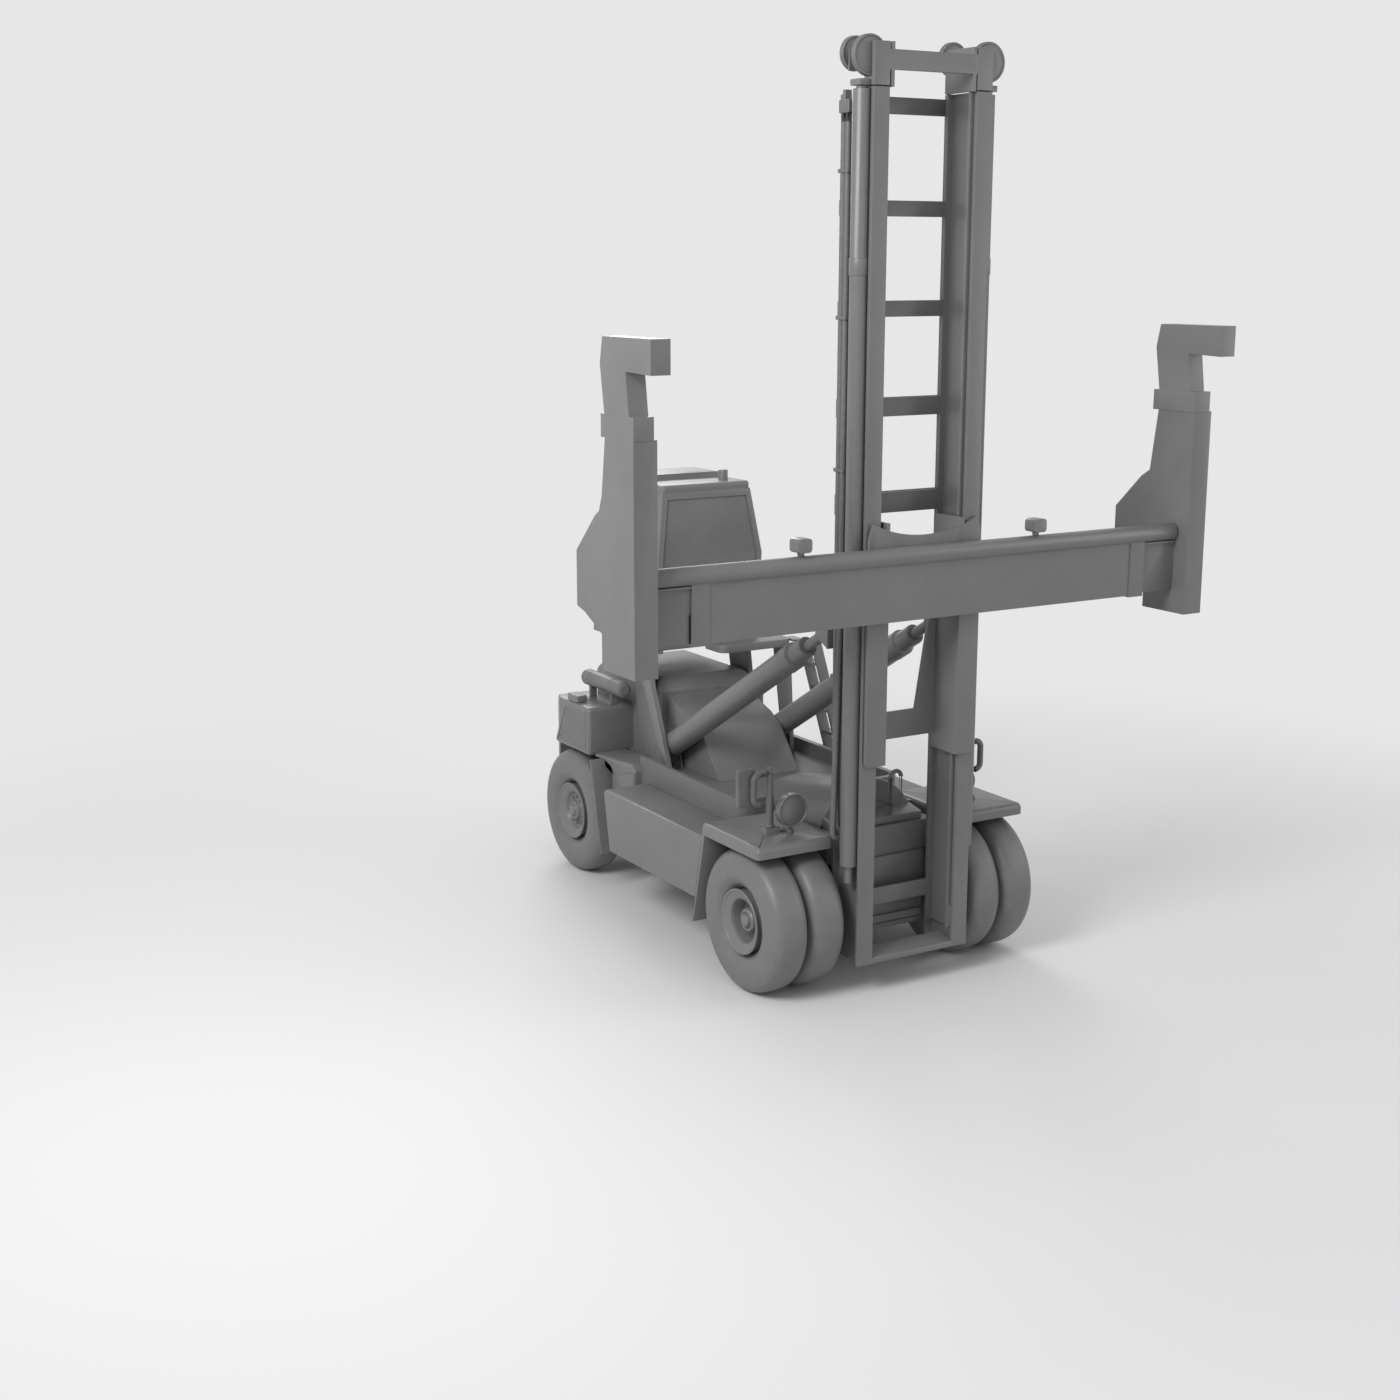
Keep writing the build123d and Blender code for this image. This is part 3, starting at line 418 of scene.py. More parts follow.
def turned(profile, centre, axis="x", steps=96):
    """Turn a profile of (along, radius) points about an axis through centre.

    A point goes to centre + along * d + radius * (e * cos t + f * sin t), where d is the axis's direction and
    e and f are unit vectors across it and each other. The axis is a letter or a direction.
    """
    profile = np.asarray(profile, dtype=float)
    d = np.asarray(AXES.get(axis, axis), dtype=float)
    d = d / np.linalg.norm(d)
    e = np.cross(d, (0, 0, 1) if abs(d[2]) < 0.9 else (0, 1, 0))
    e = e / np.linalg.norm(e)
    f = np.cross(d, e)
    t = np.linspace(0, tau, steps, endpoint=False)[None, :, None]
    ring = e * np.cos(t) + f * np.sin(t)
    return np.asarray(centre) + profile[:, 0, None, None] * d + profile[:, 1, None, None] * ring


def rounded(corners, radius, steps=6, closed=True):
    """Round the corners of a 2-D outline by arcs.

    Each corner gives way to points of a circle that touches both of its sides. The radius is cut to what the
    sides leave room for, and an open outline keeps its two ends.
    """
    corners = np.asarray(corners, dtype=float)
    before, after = np.roll(corners, 1, axis=0) - corners, np.roll(corners, -1, axis=0) - corners
    length_before = np.linalg.norm(before, axis=1)
    length_after = np.linalg.norm(after, axis=1)
    unit_before, unit_after = before / length_before[:, None], after / length_after[:, None]
    half = np.arccos(np.clip((unit_before * unit_after).sum(axis=1), -1, 1)) / 2
    reach = np.minimum(radius / np.tan(half), 0.49 * np.minimum(length_before, length_after))
    if not closed:
        reach[[0, -1]] = 0
    radius = reach * np.tan(half)
    middle = unit_before + unit_after
    length = np.linalg.norm(middle, axis=1)
    middle = middle / np.where(length > 1e-9, length, 1)[:, None]
    centre = corners + middle * (radius / np.sin(half))[:, None]
    start = corners + unit_before * reach[:, None] - centre
    end = corners + unit_after * reach[:, None] - centre
    share = np.linspace(0, 1, steps)[None, :, None]
    chord = start[:, None] * (1 - share) + end[:, None] * share
    size = np.linalg.norm(chord, axis=2, keepdims=True)
    arcs = centre[:, None] + chord / np.where(size > 1e-9, size, 1) * radius[:, None, None]
    return arcs.reshape(-1, 2)


print("surface helpers ready")

# %% [markdown]
# The tyres carry the whole load and have hardly any tread: a nearly flat crown, wide round shoulders and a
# full side that draws in to the bead. A superellipse gives that section in one line. A low ring stands on
# each side where the mould met, and the pair on the front axle sits on one long rim.

# %% Tyres
FRONT_TYRES = (1.455, 1.065)   # outer faces of the pair
REAR_TYRE = 1.105
MOULD_RINGS = (0.405, 0.545)   # their radii
RING_HEIGHT = 0.0035


def tyre_skin(side, outer, distance):
    """Return a tyre's grid, closed round its section.

    In the section, across = a * |cos s| ** p and out = b * |sin s| ** p with their signs, where p < 1 makes
    an ellipse squarer. The inner half is drawn in towards the rim, and two low rings are added to the sides.
    """
    s = np.linspace(0, tau, 96, endpoint=False)
    half_width, half_height = TYRE_WIDTH / 2, (TYRE_RADIUS - RIM_RADIUS) / 2
    across = half_width * np.sign(np.cos(s)) * np.abs(np.cos(s)) ** 0.62
    out = half_height * np.sign(np.sin(s)) * np.abs(np.sin(s)) ** 0.72
    bead = np.clip(-out / half_height, 0, 1)
    across = across * (1 - 0.22 * bead ** 2)
    radius = (TYRE_RADIUS + RIM_RADIUS) / 2 + out
    for ring in MOULD_RINGS:
        bump = RING_HEIGHT * np.exp(-((radius - ring) / 0.006) ** 2)
        across += np.sign(across) * bump * (np.abs(across) > 0.12)
    across = np.clip(across, -half_width, half_width)
    middle = side * (outer - half_width)
    profile = np.stack([middle + across, radius], axis=1)
    return turned(profile, (0, back(distance), TYRE_RADIUS), steps=128)


for name, side in SIDES.items():
    pair = [tyre_skin(side, outer, FRONT_AXLE) for outer in FRONT_TYRES]
    skin(f"front_tyre_pair_{name}", pair, f"front_wheel_{name}", "tyre_rubber", [f"front_tyres_{name}"],
         round_rows=True, round_columns=True)
    single = tyre_skin(side, REAR_TYRE, STEER_AXLE)
    skin(f"rear_tyre_skin_{name}", single, f"rear_wheel_{name}", "tyre_rubber", [f"rear_tyre_{name}"],
         round_rows=True, round_columns=True)

# %% [markdown]
# A rim is one turned section: a rolled lip that holds the bead, a flat ring, a deep dish and a hub that
# stands out of it. The front rim is long enough for two tyres. Its corners are rounded before it is turned,
# because pressed and cast steel has no sharp inner corners. Ten nuts hold the disc to the hub.

# %% Rims
NUT_CIRCLE = 0.150
FRONT_DISC, REAR_DISC = 1.252, 1.010   # where the nuts sit
FRONT_LIP, REAR_LIP = 1.446, 1.096     # where the outer lips stand out furthest
FLANGE = 0.304
LIP = [(-0.036, 0.289), (-0.026, 0.300), (-0.008, FLANGE), (0.000, 0.297), (-0.004, 0.284), (-0.014, 0.274),
       (-0.022, 0.256), (-0.034, 0.225), (-0.045, 0.205)]


def nut_ring(side, seat, distance, count=10, size=0.016, height=0.022):
    """Return the grids of hexagon nuts with domed bolt ends, spread evenly round the axle line."""
    low = [(seat - 0.004, 0), (seat - 0.004, size), (seat + height * 0.8, size), (seat + height, size * 0.86)]
    high = [(seat + height, size * 0.45), (seat + height * 1.5, size * 0.4), (seat + height * 1.6, 0)]
    grids = []
    for number in range(count):
        angle = tau * (number + 0.5) / count
        centre = (0, back(distance) + NUT_CIRCLE * cos(angle), TYRE_RADIUS + NUT_CIRCLE * sin(angle))
        grids.append(turned([(side * x, r) for x, r in low + high], centre, steps=6))
    return grids


def rim_section(inner, lip, dish):
    """Return a rim's closed outline: a flange at its inner edge, the outer lip, and the dish and hub."""
    flange = [(inner, 0.270), (inner, FLANGE), (inner + 0.012, FLANGE), (inner + 0.024, 0.289)]
    return flange + [(lip + x, r) for x, r in LIP] + dish


def rim_skin(side, section, distance):
    """Return a rim's grid from a closed outline of (distance from the centre plane, radius)."""
    outline = rounded([(side * x, r) for x, r in section], 0.007, steps=4)
    return turned(outline, (0, back(distance), TYRE_RADIUS), steps=96)


front_dish = [(1.372, 0.196), (1.272, 0.185), (FRONT_DISC, 0.162), (FRONT_DISC, 0.140), (1.300, 0.116),
              (1.352, 0.108), (1.366, 0.096), (1.366, 0.080), (1.352, 0.074), (1.354, 0.064), (1.386, 0.056),
              (1.392, 0.040), (1.396, 0.0), (1.304, 0.0), (1.304, 0.0915), (1.100, 0.0915), (1.100, 0.130),
              (1.160, 0.200), (1.190, 0.270)]
rear_dish = [(1.040, 0.196), (1.020, 0.186), (REAR_DISC, 0.168), (REAR_DISC, 0.140), (1.030, 0.112),
             (1.058, 0.104), (1.068, 0.092), (1.068, 0.078), (1.058, 0.072), (1.060, 0.062), (1.080, 0.054),
             (1.086, 0.038), (1.088, 0.0), (1.048, 0.0), (1.048, 0.0615), (0.930, 0.0615), (0.930, 0.110),
             (0.966, 0.200), (0.986, 0.270)]
front_section = rim_section(0.704, FRONT_LIP, front_dish)
rear_section = rim_section(0.748, REAR_LIP, rear_dish)
for name, side in SIDES.items():
    grids = [rim_skin(side, front_section, FRONT_AXLE)] + nut_ring(side, FRONT_DISC, FRONT_AXLE)
    skin(f"front_rim_skin_{name}", grids, f"front_wheel_{name}", "rim_paint", [f"front_rims_{name}"],
         round_columns=True)
    grids = [rim_skin(side, rear_section, STEER_AXLE)] + nut_ring(side, REAR_DISC, STEER_AXLE)
    skin(f"rear_rim_skin_{name}", grids, f"rear_wheel_{name}", "rim_paint", [f"rear_rim_{name}"],
         round_columns=True)

# %% [markdown]
# Two work lamps stand on the front fenders. Each is a spun drum with a thin rim round a lens that bulges a
# little, and it stands on a stalk of two stepped posts, one over the other.

# %% Headlamps
LAMP_X, LAMP_Y, LAMP_Z = 0.950, 0.550, 1.664
LENS_RADIUS, LENS_BULGE = 0.137, 0.016
STALK_Y = 0.610
STALKS = ((1.544, 0.012), (1.449, 0.034))   # foot and foot radius of the upper and the lower post

drum = rounded([(0.012, 0.0), (0.012, 0.136), (0.000, 0.140), (-0.004, 0.149), (0.004, 0.154), (0.070, 0.154),
                (0.102, 0.126), (0.110, 0.064), (0.110, 0.0)], 0.006, steps=4, closed=False)
share = np.linspace(0, 1, 16)
lens = np.stack([0.011 - LENS_BULGE * np.cos(share * pi / 2), LENS_RADIUS * share], axis=1)
headlamp_grids = []
for side in SIDES.values():
    centre = (side * LAMP_X, back(LAMP_Y), LAMP_Z)
    headlamp_grids += [turned(drum, centre, "y"), turned(lens, centre, "y")]
    for foot, radius in STALKS:
        stalk = rounded([(0, 0), (0, radius), (0.035, radius), (0.040, 0.014), (0.085, 0.014), (0.085, 0)],
                        0.003, steps=3, closed=False)
        headlamp_grids.append(turned(stalk, (side * LAMP_X, back(STALK_Y), foot), "z", steps=32))
skin("headlamp_skins", headlamp_grids, "chassis", "lamp_body", ["headlamps"], round_columns=True)

# %% [markdown]
# Folded and cast covers are solids of one outline whose rims are rounded. Rings of the outline, each drawn in
# by an amount that follows a quarter circle, make such a rim. The same rings make the shell of a fender when
# they turn back inside at its lower edge.

# %% Solids with rounded rims


def drawn_in(outline, amount):
    """Return a closed outline moved inwards by amount along the mean of its sides' normals."""
    along = np.roll(outline, -1, axis=0) - np.roll(outline, 1, axis=0)
    size = np.linalg.norm(along, axis=1, keepdims=True)
    normal = np.stack([-along[:, 1], along[:, 0]], axis=1) / np.where(size > 1e-9, size, 1)
    area = np.sum(outline[:, 0] * np.roll(outline[:, 1], -1) - np.roll(outline[:, 0], -1) * outline[:, 1])
    return outline + normal * amount * (1 if area > 0 else -1)


def ringed(outline, rings, across):
    """Stack rings of a closed outline. Each ring is (height, amount drawn in); None draws it to its middle.

    The outline's two numbers fill the two axes that are left when across, 0 to 2, takes the height.
    """
    outline = np.asarray(outline, dtype=float)
    layers = []
    for height, amount in rings:
        middle = np.tile(outline.mean(axis=0), (len(outline), 1))
        ring = middle if amount is None else drawn_in(outline, amount)
        layers.append(np.insert(ring, across, height, axis=1))
    return np.stack(layers)


def rim_rings(low, high, edge, steps=6, side=1):
    """Return rings from low to high, on one side, whose rims follow quarter circles of the radius edge."""
    turn = np.linspace(0, pi / 2, steps)
    first = [(low + edge * (1 - sin(t)), edge * (1 - cos(t))) for t in turn[::-1]]
    last = [(high - edge * (1 - sin(t)), edge * (1 - cos(t))) for t in turn]
    return [(side * height, amount) for height, amount in [(low, None)] + first + last + [(high, None)]]


def box_plan(side, x, y):
    """Return the corners of a box seen from above, between two distances x and two distances back y."""
    return [(side * x[0], back(y[0])), (side * x[1], back(y[0])), (side * x[1], back(y[1])),
            (side * x[0], back(y[1]))]


def profile_of(*points):
    """Turn points (distance back, height) into an outline seen from the side."""
    return [(back(distance), height) for distance, height in points]


print("rim helpers ready")

# %% [markdown]
# Small feet, blocks, bars and cushions are boxes with swollen sides. One formula makes them all: the powers
# of a cosine and a sine go from a ball towards a box as the power falls.

# %% Blocks with swollen sides


def signed_power(wave, power):
    """Raise a wave to a power and keep its sign."""
    return np.sign(wave) * np.abs(wave) ** power


def plump(centre, size, power=0.4, lean=0.0, channel=0.0):
    """Return the grid of a block with swollen sides, turned by lean degrees about X.

    At angles u and v the point is size / 2 * (c(v) * c(u), c(v) * s(u), s(v)), where c and s are cosine and
    sine raised to a power with their signs. A low power gives a squarer block. The channel is a dip of the
    upper face near its middle.
    """
    u = np.linspace(0, tau, 72, endpoint=False)[None, :]
    v = np.linspace(-pi / 2, pi / 2, 37)[:, None]
    cv, sv = np.abs(np.cos(v)) ** power, signed_power(np.sin(v), power)
    cu, su = signed_power(np.cos(u), power), signed_power(np.sin(u), power)
    x, y, z = cv * cu * size[0] / 2, cv * su * size[1] / 2, sv * np.ones_like(u) * size[2] / 2
    z = z - channel * np.exp(-(y / 0.03) ** 2) * (z > 0)
    angle = radians(lean)
    turned_y, turned_z = y * cos(angle) - z * sin(angle), y * sin(angle) + z * cos(angle)
    return np.stack([x, turned_y, turned_z], axis=-1) + np.asarray(centre)


print("block helper ready")

# %% [markdown]
# Each front fender is a deep tray turned upside down, with a lip that rolls over at the front and the side. A
# flap slants down behind the wheels and a bracket with an arm holds the fender to the frame.

# %% Front fenders
TRAY_X, TRAY_Y = (0.680, 1.490), (0.300, 1.280)
TRAY_TOP, TRAY_FOOT, TRAY_ROLL, TRAY_WALL = 1.450, 1.340, 0.052, 0.018
FLAP_X, FLAP_EDGE = (0.700, 1.450), 0.004
BRACKET_Y = 1.050

roll = np.linspace(0, pi / 2, 8)
tray_rings = [(TRAY_TOP, None)]
tray_rings += [(TRAY_TOP - TRAY_ROLL * (1 - cos(t)), TRAY_ROLL * (1 - sin(t))) for t in roll]
tray_rings += [(TRAY_FOOT + 0.004, 0.0), (TRAY_FOOT, 0.006), (TRAY_FOOT, TRAY_WALL)]
tray_rings += [(TRAY_TOP - 0.06, TRAY_WALL + 0.004), (TRAY_TOP - 0.02, 0.060), (TRAY_TOP - 0.02, None)]
flap_outline = rounded(profile_of((1.270, 1.436), (1.252, 1.424), (1.484, 0.430), (1.500, 0.430),
                                  (1.290, 1.436)), 0.004, steps=3)
for name, side in SIDES.items():
    tray = ringed(rounded(box_plan(side, TRAY_X, TRAY_Y), 0.045, steps=8), tray_rings, across=2)
    flap = ringed(flap_outline, rim_rings(*FLAP_X, FLAP_EDGE, 3, side), across=0)
    bracket = plump((side * 0.640, back(BRACKET_Y), 1.365), (0.078, 0.140, 0.130), power=0.12)
    arm = plump((side * 0.800, back(BRACKET_Y), 1.405), (0.398, 0.140, 0.048), power=0.12)
    skin(f"front_fender_{name}", [tray, flap, bracket, arm], "chassis", "machine_paint", ["front_fenders"],
         round_columns=True)

# %% [markdown]
# The boxes over the rear wheels are castings with generous rounds. A sheet of woven mesh fills a window in
# the side of each: a fine grid of points, pushed in where sin(a) * sin(b) is far from 0, gives its rows of
# holes. A small lidded block sits on the box, a smooth shield stands ahead of the wheel, and the hull's
# shoulder fills the corner between the shield and the deck.

# %% Rear boxes, mesh and shields
BOX_X, SHOULDER_X, SHIELD_X = (0.520, 1.100), (0.640, 1.030), (0.950, 1.200)
WINDOW_X = 1.1025
WINDOW_FRONT, WINDOW_REAR_LOW, WINDOW_REAR_HIGH = 4.345, 4.975, 4.800
WINDOW_FOOT, WINDOW_HEIGHT = 1.425, 0.385
HOLE_DEPTH = 0.006
BOX_OUTLINE = rounded(profile_of((4.262, 1.362), (4.262, 1.880), (4.829, 1.880), (5.085, 1.362)), 0.045,
                      steps=7)
SHOULDER = rounded(profile_of((3.400, 0.900), (3.400, 1.385), (3.470, 1.440), (4.265, 1.400), (4.265, 1.350),
                              (4.070, 1.345), (3.900, 1.300), (3.870, 0.900)), 0.030, steps=5)
SHIELD = rounded(profile_of((4.036, 1.388), (4.062, 1.388), (3.842, 0.420), (3.812, 0.420)), 0.008, steps=3)
BORDER = rounded(profile_of((4.330, 1.412), (4.330, 1.822), (4.812, 1.822), (4.992, 1.412)), 0.02, steps=4)
BORDER_RINGS = ((1.095, 0.0), (1.1045, 0.0), (1.1060, 0.003), (1.1060, 0.013), (1.1045, 0.016),
                (1.095, 0.016))


def mesh_sheet(side, rows=70, columns=80):
    """Return a grid on a slanted window whose points sink in rows of holes.

    The sink is the holes' depth times a smooth step of sin(a) * sin(b), where a and b count 22 and 20 half
    waves.
    """
    across, up = np.meshgrid(np.linspace(0, 1, columns), np.linspace(0, 1, rows))
    width = (WINDOW_REAR_LOW - WINDOW_FRONT) * (1 - up) + (WINDOW_REAR_HIGH - WINDOW_FRONT) * up
    hole = np.sin(across * pi * 22) * np.sin(up * pi * 20)
    depth = HOLE_DEPTH / (1 + np.exp(-14 * (np.abs(hole) - 0.45)))
    y, z = back(WINDOW_FRONT + across * width), WINDOW_FOOT + WINDOW_HEIGHT * up
    return np.stack([side * (WINDOW_X - depth), y, z], axis=-1)


for name, side in SIDES.items():
    block = plump((side * 1.015, back(4.675), 1.918), (0.130, 0.230, 0.080), power=0.25)
    box_grids = [ringed(BOX_OUTLINE, rim_rings(*BOX_X, 0.045, side=side), across=0),
                 ringed(BORDER, [(side * x, amount) for x, amount in BORDER_RINGS], across=0), block,
                 ringed(SHIELD, rim_rings(*SHIELD_X, 0.012, 5, side), across=0),
                 ringed(SHOULDER, rim_rings(*SHOULDER_X, 0.035, side=side), across=0)]
    skin(f"rear_box_{name}", box_grids, "chassis", "machine_paint", ["rear_fenders"], round_columns=True)
    skin(f"rear_mesh_{name}", mesh_sheet(side), "chassis", "machine_paint")

# %% [markdown]
# The tilt cylinders are thick barrels with a bolted head and a narrower gland, all turned about one slanted
# line from the deck to the mast. Turning one outline gives the weld line near the foot, the shoulder of the
# head and the lip of the gland. The eye at the foot is turned about its own pin.

# %% Tilt cylinders
TILT_X = 0.600
TILT_FOOT = np.array((0, back(3.460), 1.560))
TILT_EYE = np.array((0, back(0.580), 3.251))
TILT_LINE = TILT_EYE - TILT_FOOT
BARREL = 0.120         # radius of the long plain part
HEAD = 0.126
GLAND = 0.097
SLOTS = ((0.29, 0.4), (0.25, 0.95), (2.54, 0.5), (2.50, 1.1))   # distance along the barrel, angle

barrel_outline = rounded([(0.112, 0.0), (0.112, BARREL), (0.190, BARREL), (0.190, 0.1235), (0.204, 0.1235),
                          (0.204, BARREL), (2.604, BARREL), (2.612, HEAD), (2.650, HEAD), (2.656, 0.1235),
                          (2.662, HEAD), (2.770, HEAD), (2.780, GLAND), (2.850, GLAND), (2.854, 0.0945),
                          (2.862, 0.0945), (2.866, GLAND), (2.982, GLAND), (2.989, 0.088), (2.989, 0.0515),
                          (2.930, 0.0515), (2.930, 0.0)], 0.006, steps=4, closed=False)
neck_outline = [(0.040, 0.0), (0.040, 0.066), (0.113, 0.070), (0.113, 0.0)]
eye_outline = rounded([(-0.070, 0.0455), (-0.070, 0.074), (0.070, 0.074), (0.070, 0.0455)], 0.005, steps=4)


def oval_slot(foot, along, angle, side):
    """Return a shallow oval plug, 44 by 16 mm, set into the barrel at a distance along it and an angle.

    The angle starts at the outer side and turns towards the lower face. The plug's rings are ovals of
    d * 0.022 * cos t + beside * 0.008 * sin t, times a share, each at its own height over the barrel.
    """
    d = TILT_LINE / np.linalg.norm(TILT_LINE)
    out = np.array((1.0, 0, 0)) * side * cos(angle) + np.cross((1.0, 0, 0), d) * sin(angle)
    beside = np.cross(d, out)
    t = np.linspace(0, tau, 32, endpoint=False)[None, :, None]
    rings = np.array([(0.0, -0.0015), (0.8, 0.0004), (1.0, -0.0002), (1.0, -0.0050), (0.0, -0.0050)])
    share, height = rings[:, 0, None, None], BARREL + rings[:, 1, None, None]
    return foot + d * along + out * height + share * (d * 0.022 * np.cos(t) + beside * 0.008 * np.sin(t))


for name, side in SIDES.items():
    body = f"tilt_barrel_{name}"
    foot = TILT_FOOT + (side * TILT_X, 0, 0)
    barrel_grids = [turned(outline, foot, tuple(TILT_LINE)) for outline in (barrel_outline, neck_outline)]
    skin(f"tilt_barrel_skin_{name}", barrel_grids, body, "machine_paint", [f"tilt_barrel_{name}"],
         round_columns=True)
    slots = [oval_slot(foot, along, angle, side) for along, angle in SLOTS]
    skin(f"tilt_slots_{name}", slots, body, "trim_plastic", round_columns=True)
    skin(f"tilt_eye_skin_{name}", turned(eye_outline, foot, "x", steps=64), body, "machine_paint",
         round_rows=True, round_columns=True)

# %% [markdown]
# The chain sheaves at the mast's head are discs with a rope groove and a domed face round the pin. The
# exhaust on the right is a drum with pressed ends and two straps. Each is turned from one outline.

# %% Sheaves
SHEAVES = (
    {"x": 0.610, "z": 8.100, "front": 0.048, "rear": 0.100, "radius": 0.168, "pin": (0.052, 0.112)},
    {"x": 0.507, "z": 8.146, "front": 0.397, "rear": 0.450, "radius": 0.144, "pin": (0.390, 0.470)},
)


def sheave(centre, front, rear, radius, pin):
    """Return the grids of a grooved disc between two distances back, and of its stepped pin."""
    groove = (front + rear) / 2
    disc = rounded([(front, 0), (front + 0.001, radius * 0.5), (front + 0.007, radius - 0.036),
                    (front + 0.010, radius - 0.026), (front + 0.002, radius - 0.018),
                    (front + 0.002, radius - 0.002), (groove - 0.010, radius - 0.004),
                    (groove, radius - 0.020), (groove + 0.010, radius - 0.004), (rear, radius),
                    (rear, radius - 0.018), (rear - 0.010, radius - 0.030), (rear - 0.010, 0.062),
                    (rear, 0.050), (rear, 0)], 0.005, steps=4, closed=False)
    shaft = rounded([(pin[0], 0), (pin[0], 0.036), (groove, 0.036), (groove, 0.040), (pin[1], 0.040),
                     (pin[1], 0)], 0.004, steps=3, closed=False)
    return [turned(disc, centre, "y"), turned(shaft, centre, "y", steps=48)]


sheave_grids = []
for side in SIDES.values():
    for row in SHEAVES:
        centre = (side * row["x"], FACE, row["z"])
        sheave_grids += sheave(centre, row["front"], row["rear"], row["radius"], row["pin"])
skin("sheave_skins", sheave_grids, "mast_inner", "bare_steel", ["sheaves"], round_columns=True)

# %% Exhaust
EXHAUST_X, EXHAUST_Z = -0.760, 2.075
STRAP_LOW, STRAP_HIGH = 0.0855, 0.0885     # radii of the drum and of its straps

drum_ends = [(4.075, 0.0), (4.075, 0.050), (4.088, 0.078), (4.110, 0.086), (4.118, 0.088), (4.126, 0.086)]
straps = [(4.300, STRAP_LOW), (4.300, STRAP_HIGH), (4.340, STRAP_HIGH), (4.340, STRAP_LOW),
          (4.770, STRAP_LOW), (4.770, STRAP_HIGH), (4.810, STRAP_HIGH), (4.810, STRAP_LOW)]
drum_rear = [(4.884, 0.086), (4.892, 0.088), (4.900, 0.086), (4.922, 0.078), (4.935, 0.050), (4.935, 0.0)]
exhaust_outline = rounded(drum_ends + straps + drum_rear, 0.004, steps=4, closed=False)
exhaust_grids = [turned(exhaust_outline, (EXHAUST_X, FACE, EXHAUST_Z), "y")]
for foot_y in (4.330, 4.799):
    exhaust_grids.append(plump((EXHAUST_X, back(foot_y), 1.943), (0.078, 0.040, 0.126), power=0.15))
skin("exhaust_drum", exhaust_grids, "chassis", "frame_paint", ["exhaust"], round_columns=True)

# %% [markdown]
# Bent tubes and hoses are a circle carried along a line. Each line here lies nearly in one plane, so a fixed
# direction across it is enough to place the circle. A ring of radius 0 at each end is meant to close the
# tube, but its tangent is 0 / 0, so its points aren't numbers. The fault is known and not mended here.

# %% A tube along a line


def tube(path, radius, across=(0, 1, 0), steps=20):
    """Carry a circle along a line of points.

    The point at angle t is p + radius * (a * cos t + b * sin t), where b is the unit vector of tangent x
    across and a is that of b x tangent. Both end points are doubled for two more rings of radius 0, and
    there the tangent can't be worked out.
    """
    path = np.concatenate([path[:1], path, path[-1:]])
    tangent = np.gradient(path, axis=0)
    tangent = tangent / np.linalg.norm(tangent, axis=1, keepdims=True)
    b = np.cross(tangent, across)
    b = b / np.linalg.norm(b, axis=1, keepdims=True)
    a = np.cross(b, tangent)
    size = np.full(len(path), float(radius))
    size[[0, -1]] = 0
    t = np.linspace(0, tau, steps, endpoint=False)[None, :, None]
    return path[:, None] + size[:, None, None] * (a[:, None] * np.cos(t) + b[:, None] * np.sin(t))


def bent(corners, radius, steps=8):
    """Return an open line through 2-D corners that are rounded by arcs."""
    return rounded(corners, radius, steps=steps, closed=False)[steps - 1:1 - steps]


def upright(line, y, side=1, x=0.0):
    """Set a 2-D line of (across, height) upright at y, one number or one for each point, outwards from x."""
    return np.stack([x + side * line[:, 0], np.broadcast_to(y, len(line)), line[:, 1]], axis=1)


print("tube helpers ready")

# %% [markdown]
# A mirror post stands on each fender: a slim cone on a cast foot, with a thick tube bow on its outer side.
# The right one carries the mirror's housing, a flat box with full round edges that hangs just behind the bow.

# %% Mirrors
POST_X, POST_Y = 1.110, 0.705
BOW_RADIUS, STAY_RADIUS = 0.029, 0.021
FOOT_RINGS = ((1.449, None), (1.449, 0.0), (1.470, 0.004), (1.490, 0.018), (1.503, 0.032), (1.506, None))

cone = rounded([(1.500, 0), (1.500, 0.044), (1.512, 0.046), (1.522, 0.038), (2.036, 0.028), (2.050, 0.021),
                (2.050, 0)], 0.004, steps=4, closed=False)
bow = bent([(0.0, 2.000), (0.170, 2.000), (0.170, 1.723), (0.0, 1.723)], 0.060)
stay = bent([(0.0, 1.474), (-0.100, 1.474), (-0.150, 1.462), (-0.185, 1.462)], 0.05)
stay_y = np.linspace(back(0.690), back(0.630), len(stay))
mirror_grids = []
for side in SIDES.values():
    x, y = side * POST_X, back(POST_Y)
    foot_plan = rounded(box_plan(side, (POST_X - 0.095, POST_X + 0.085), (0.640, 0.770)), 0.022)
    mirror_grids.append(turned(cone, (x, y, 0), "z", steps=40))
    mirror_grids.append(tube(upright(bow, y, side, x), BOW_RADIUS))
    mirror_grids.append(ringed(foot_plan, FOOT_RINGS, across=2))
    mirror_grids.append(tube(upright(stay, stay_y, side, x), STAY_RADIUS))
mirror_grids.append(plump((-1.330, back(0.765), 1.872), (0.180, 0.052, 0.350), power=0.22))
mirror_grids.append(plump((-1.270, back(0.738), 1.862), (0.050, 0.050, 0.060), power=0.3))
skin("mirror_skins", mirror_grids, "chassis", "trim_plastic", ["mirrors"], round_columns=True)

# %% [markdown]
# The cover ahead of the cab is a vault: an arch of one circle, carried backwards while it gets lower. A shelf
# with a rolled edge lies at its foot and a bent tube on its front is the handhold for the step below.

# %% Front cover
SHELF_HALF, SHELF_EDGE = 0.500, 0.012
HANDHOLD_Y, HANDHOLD_RADIUS = 0.615, 0.020


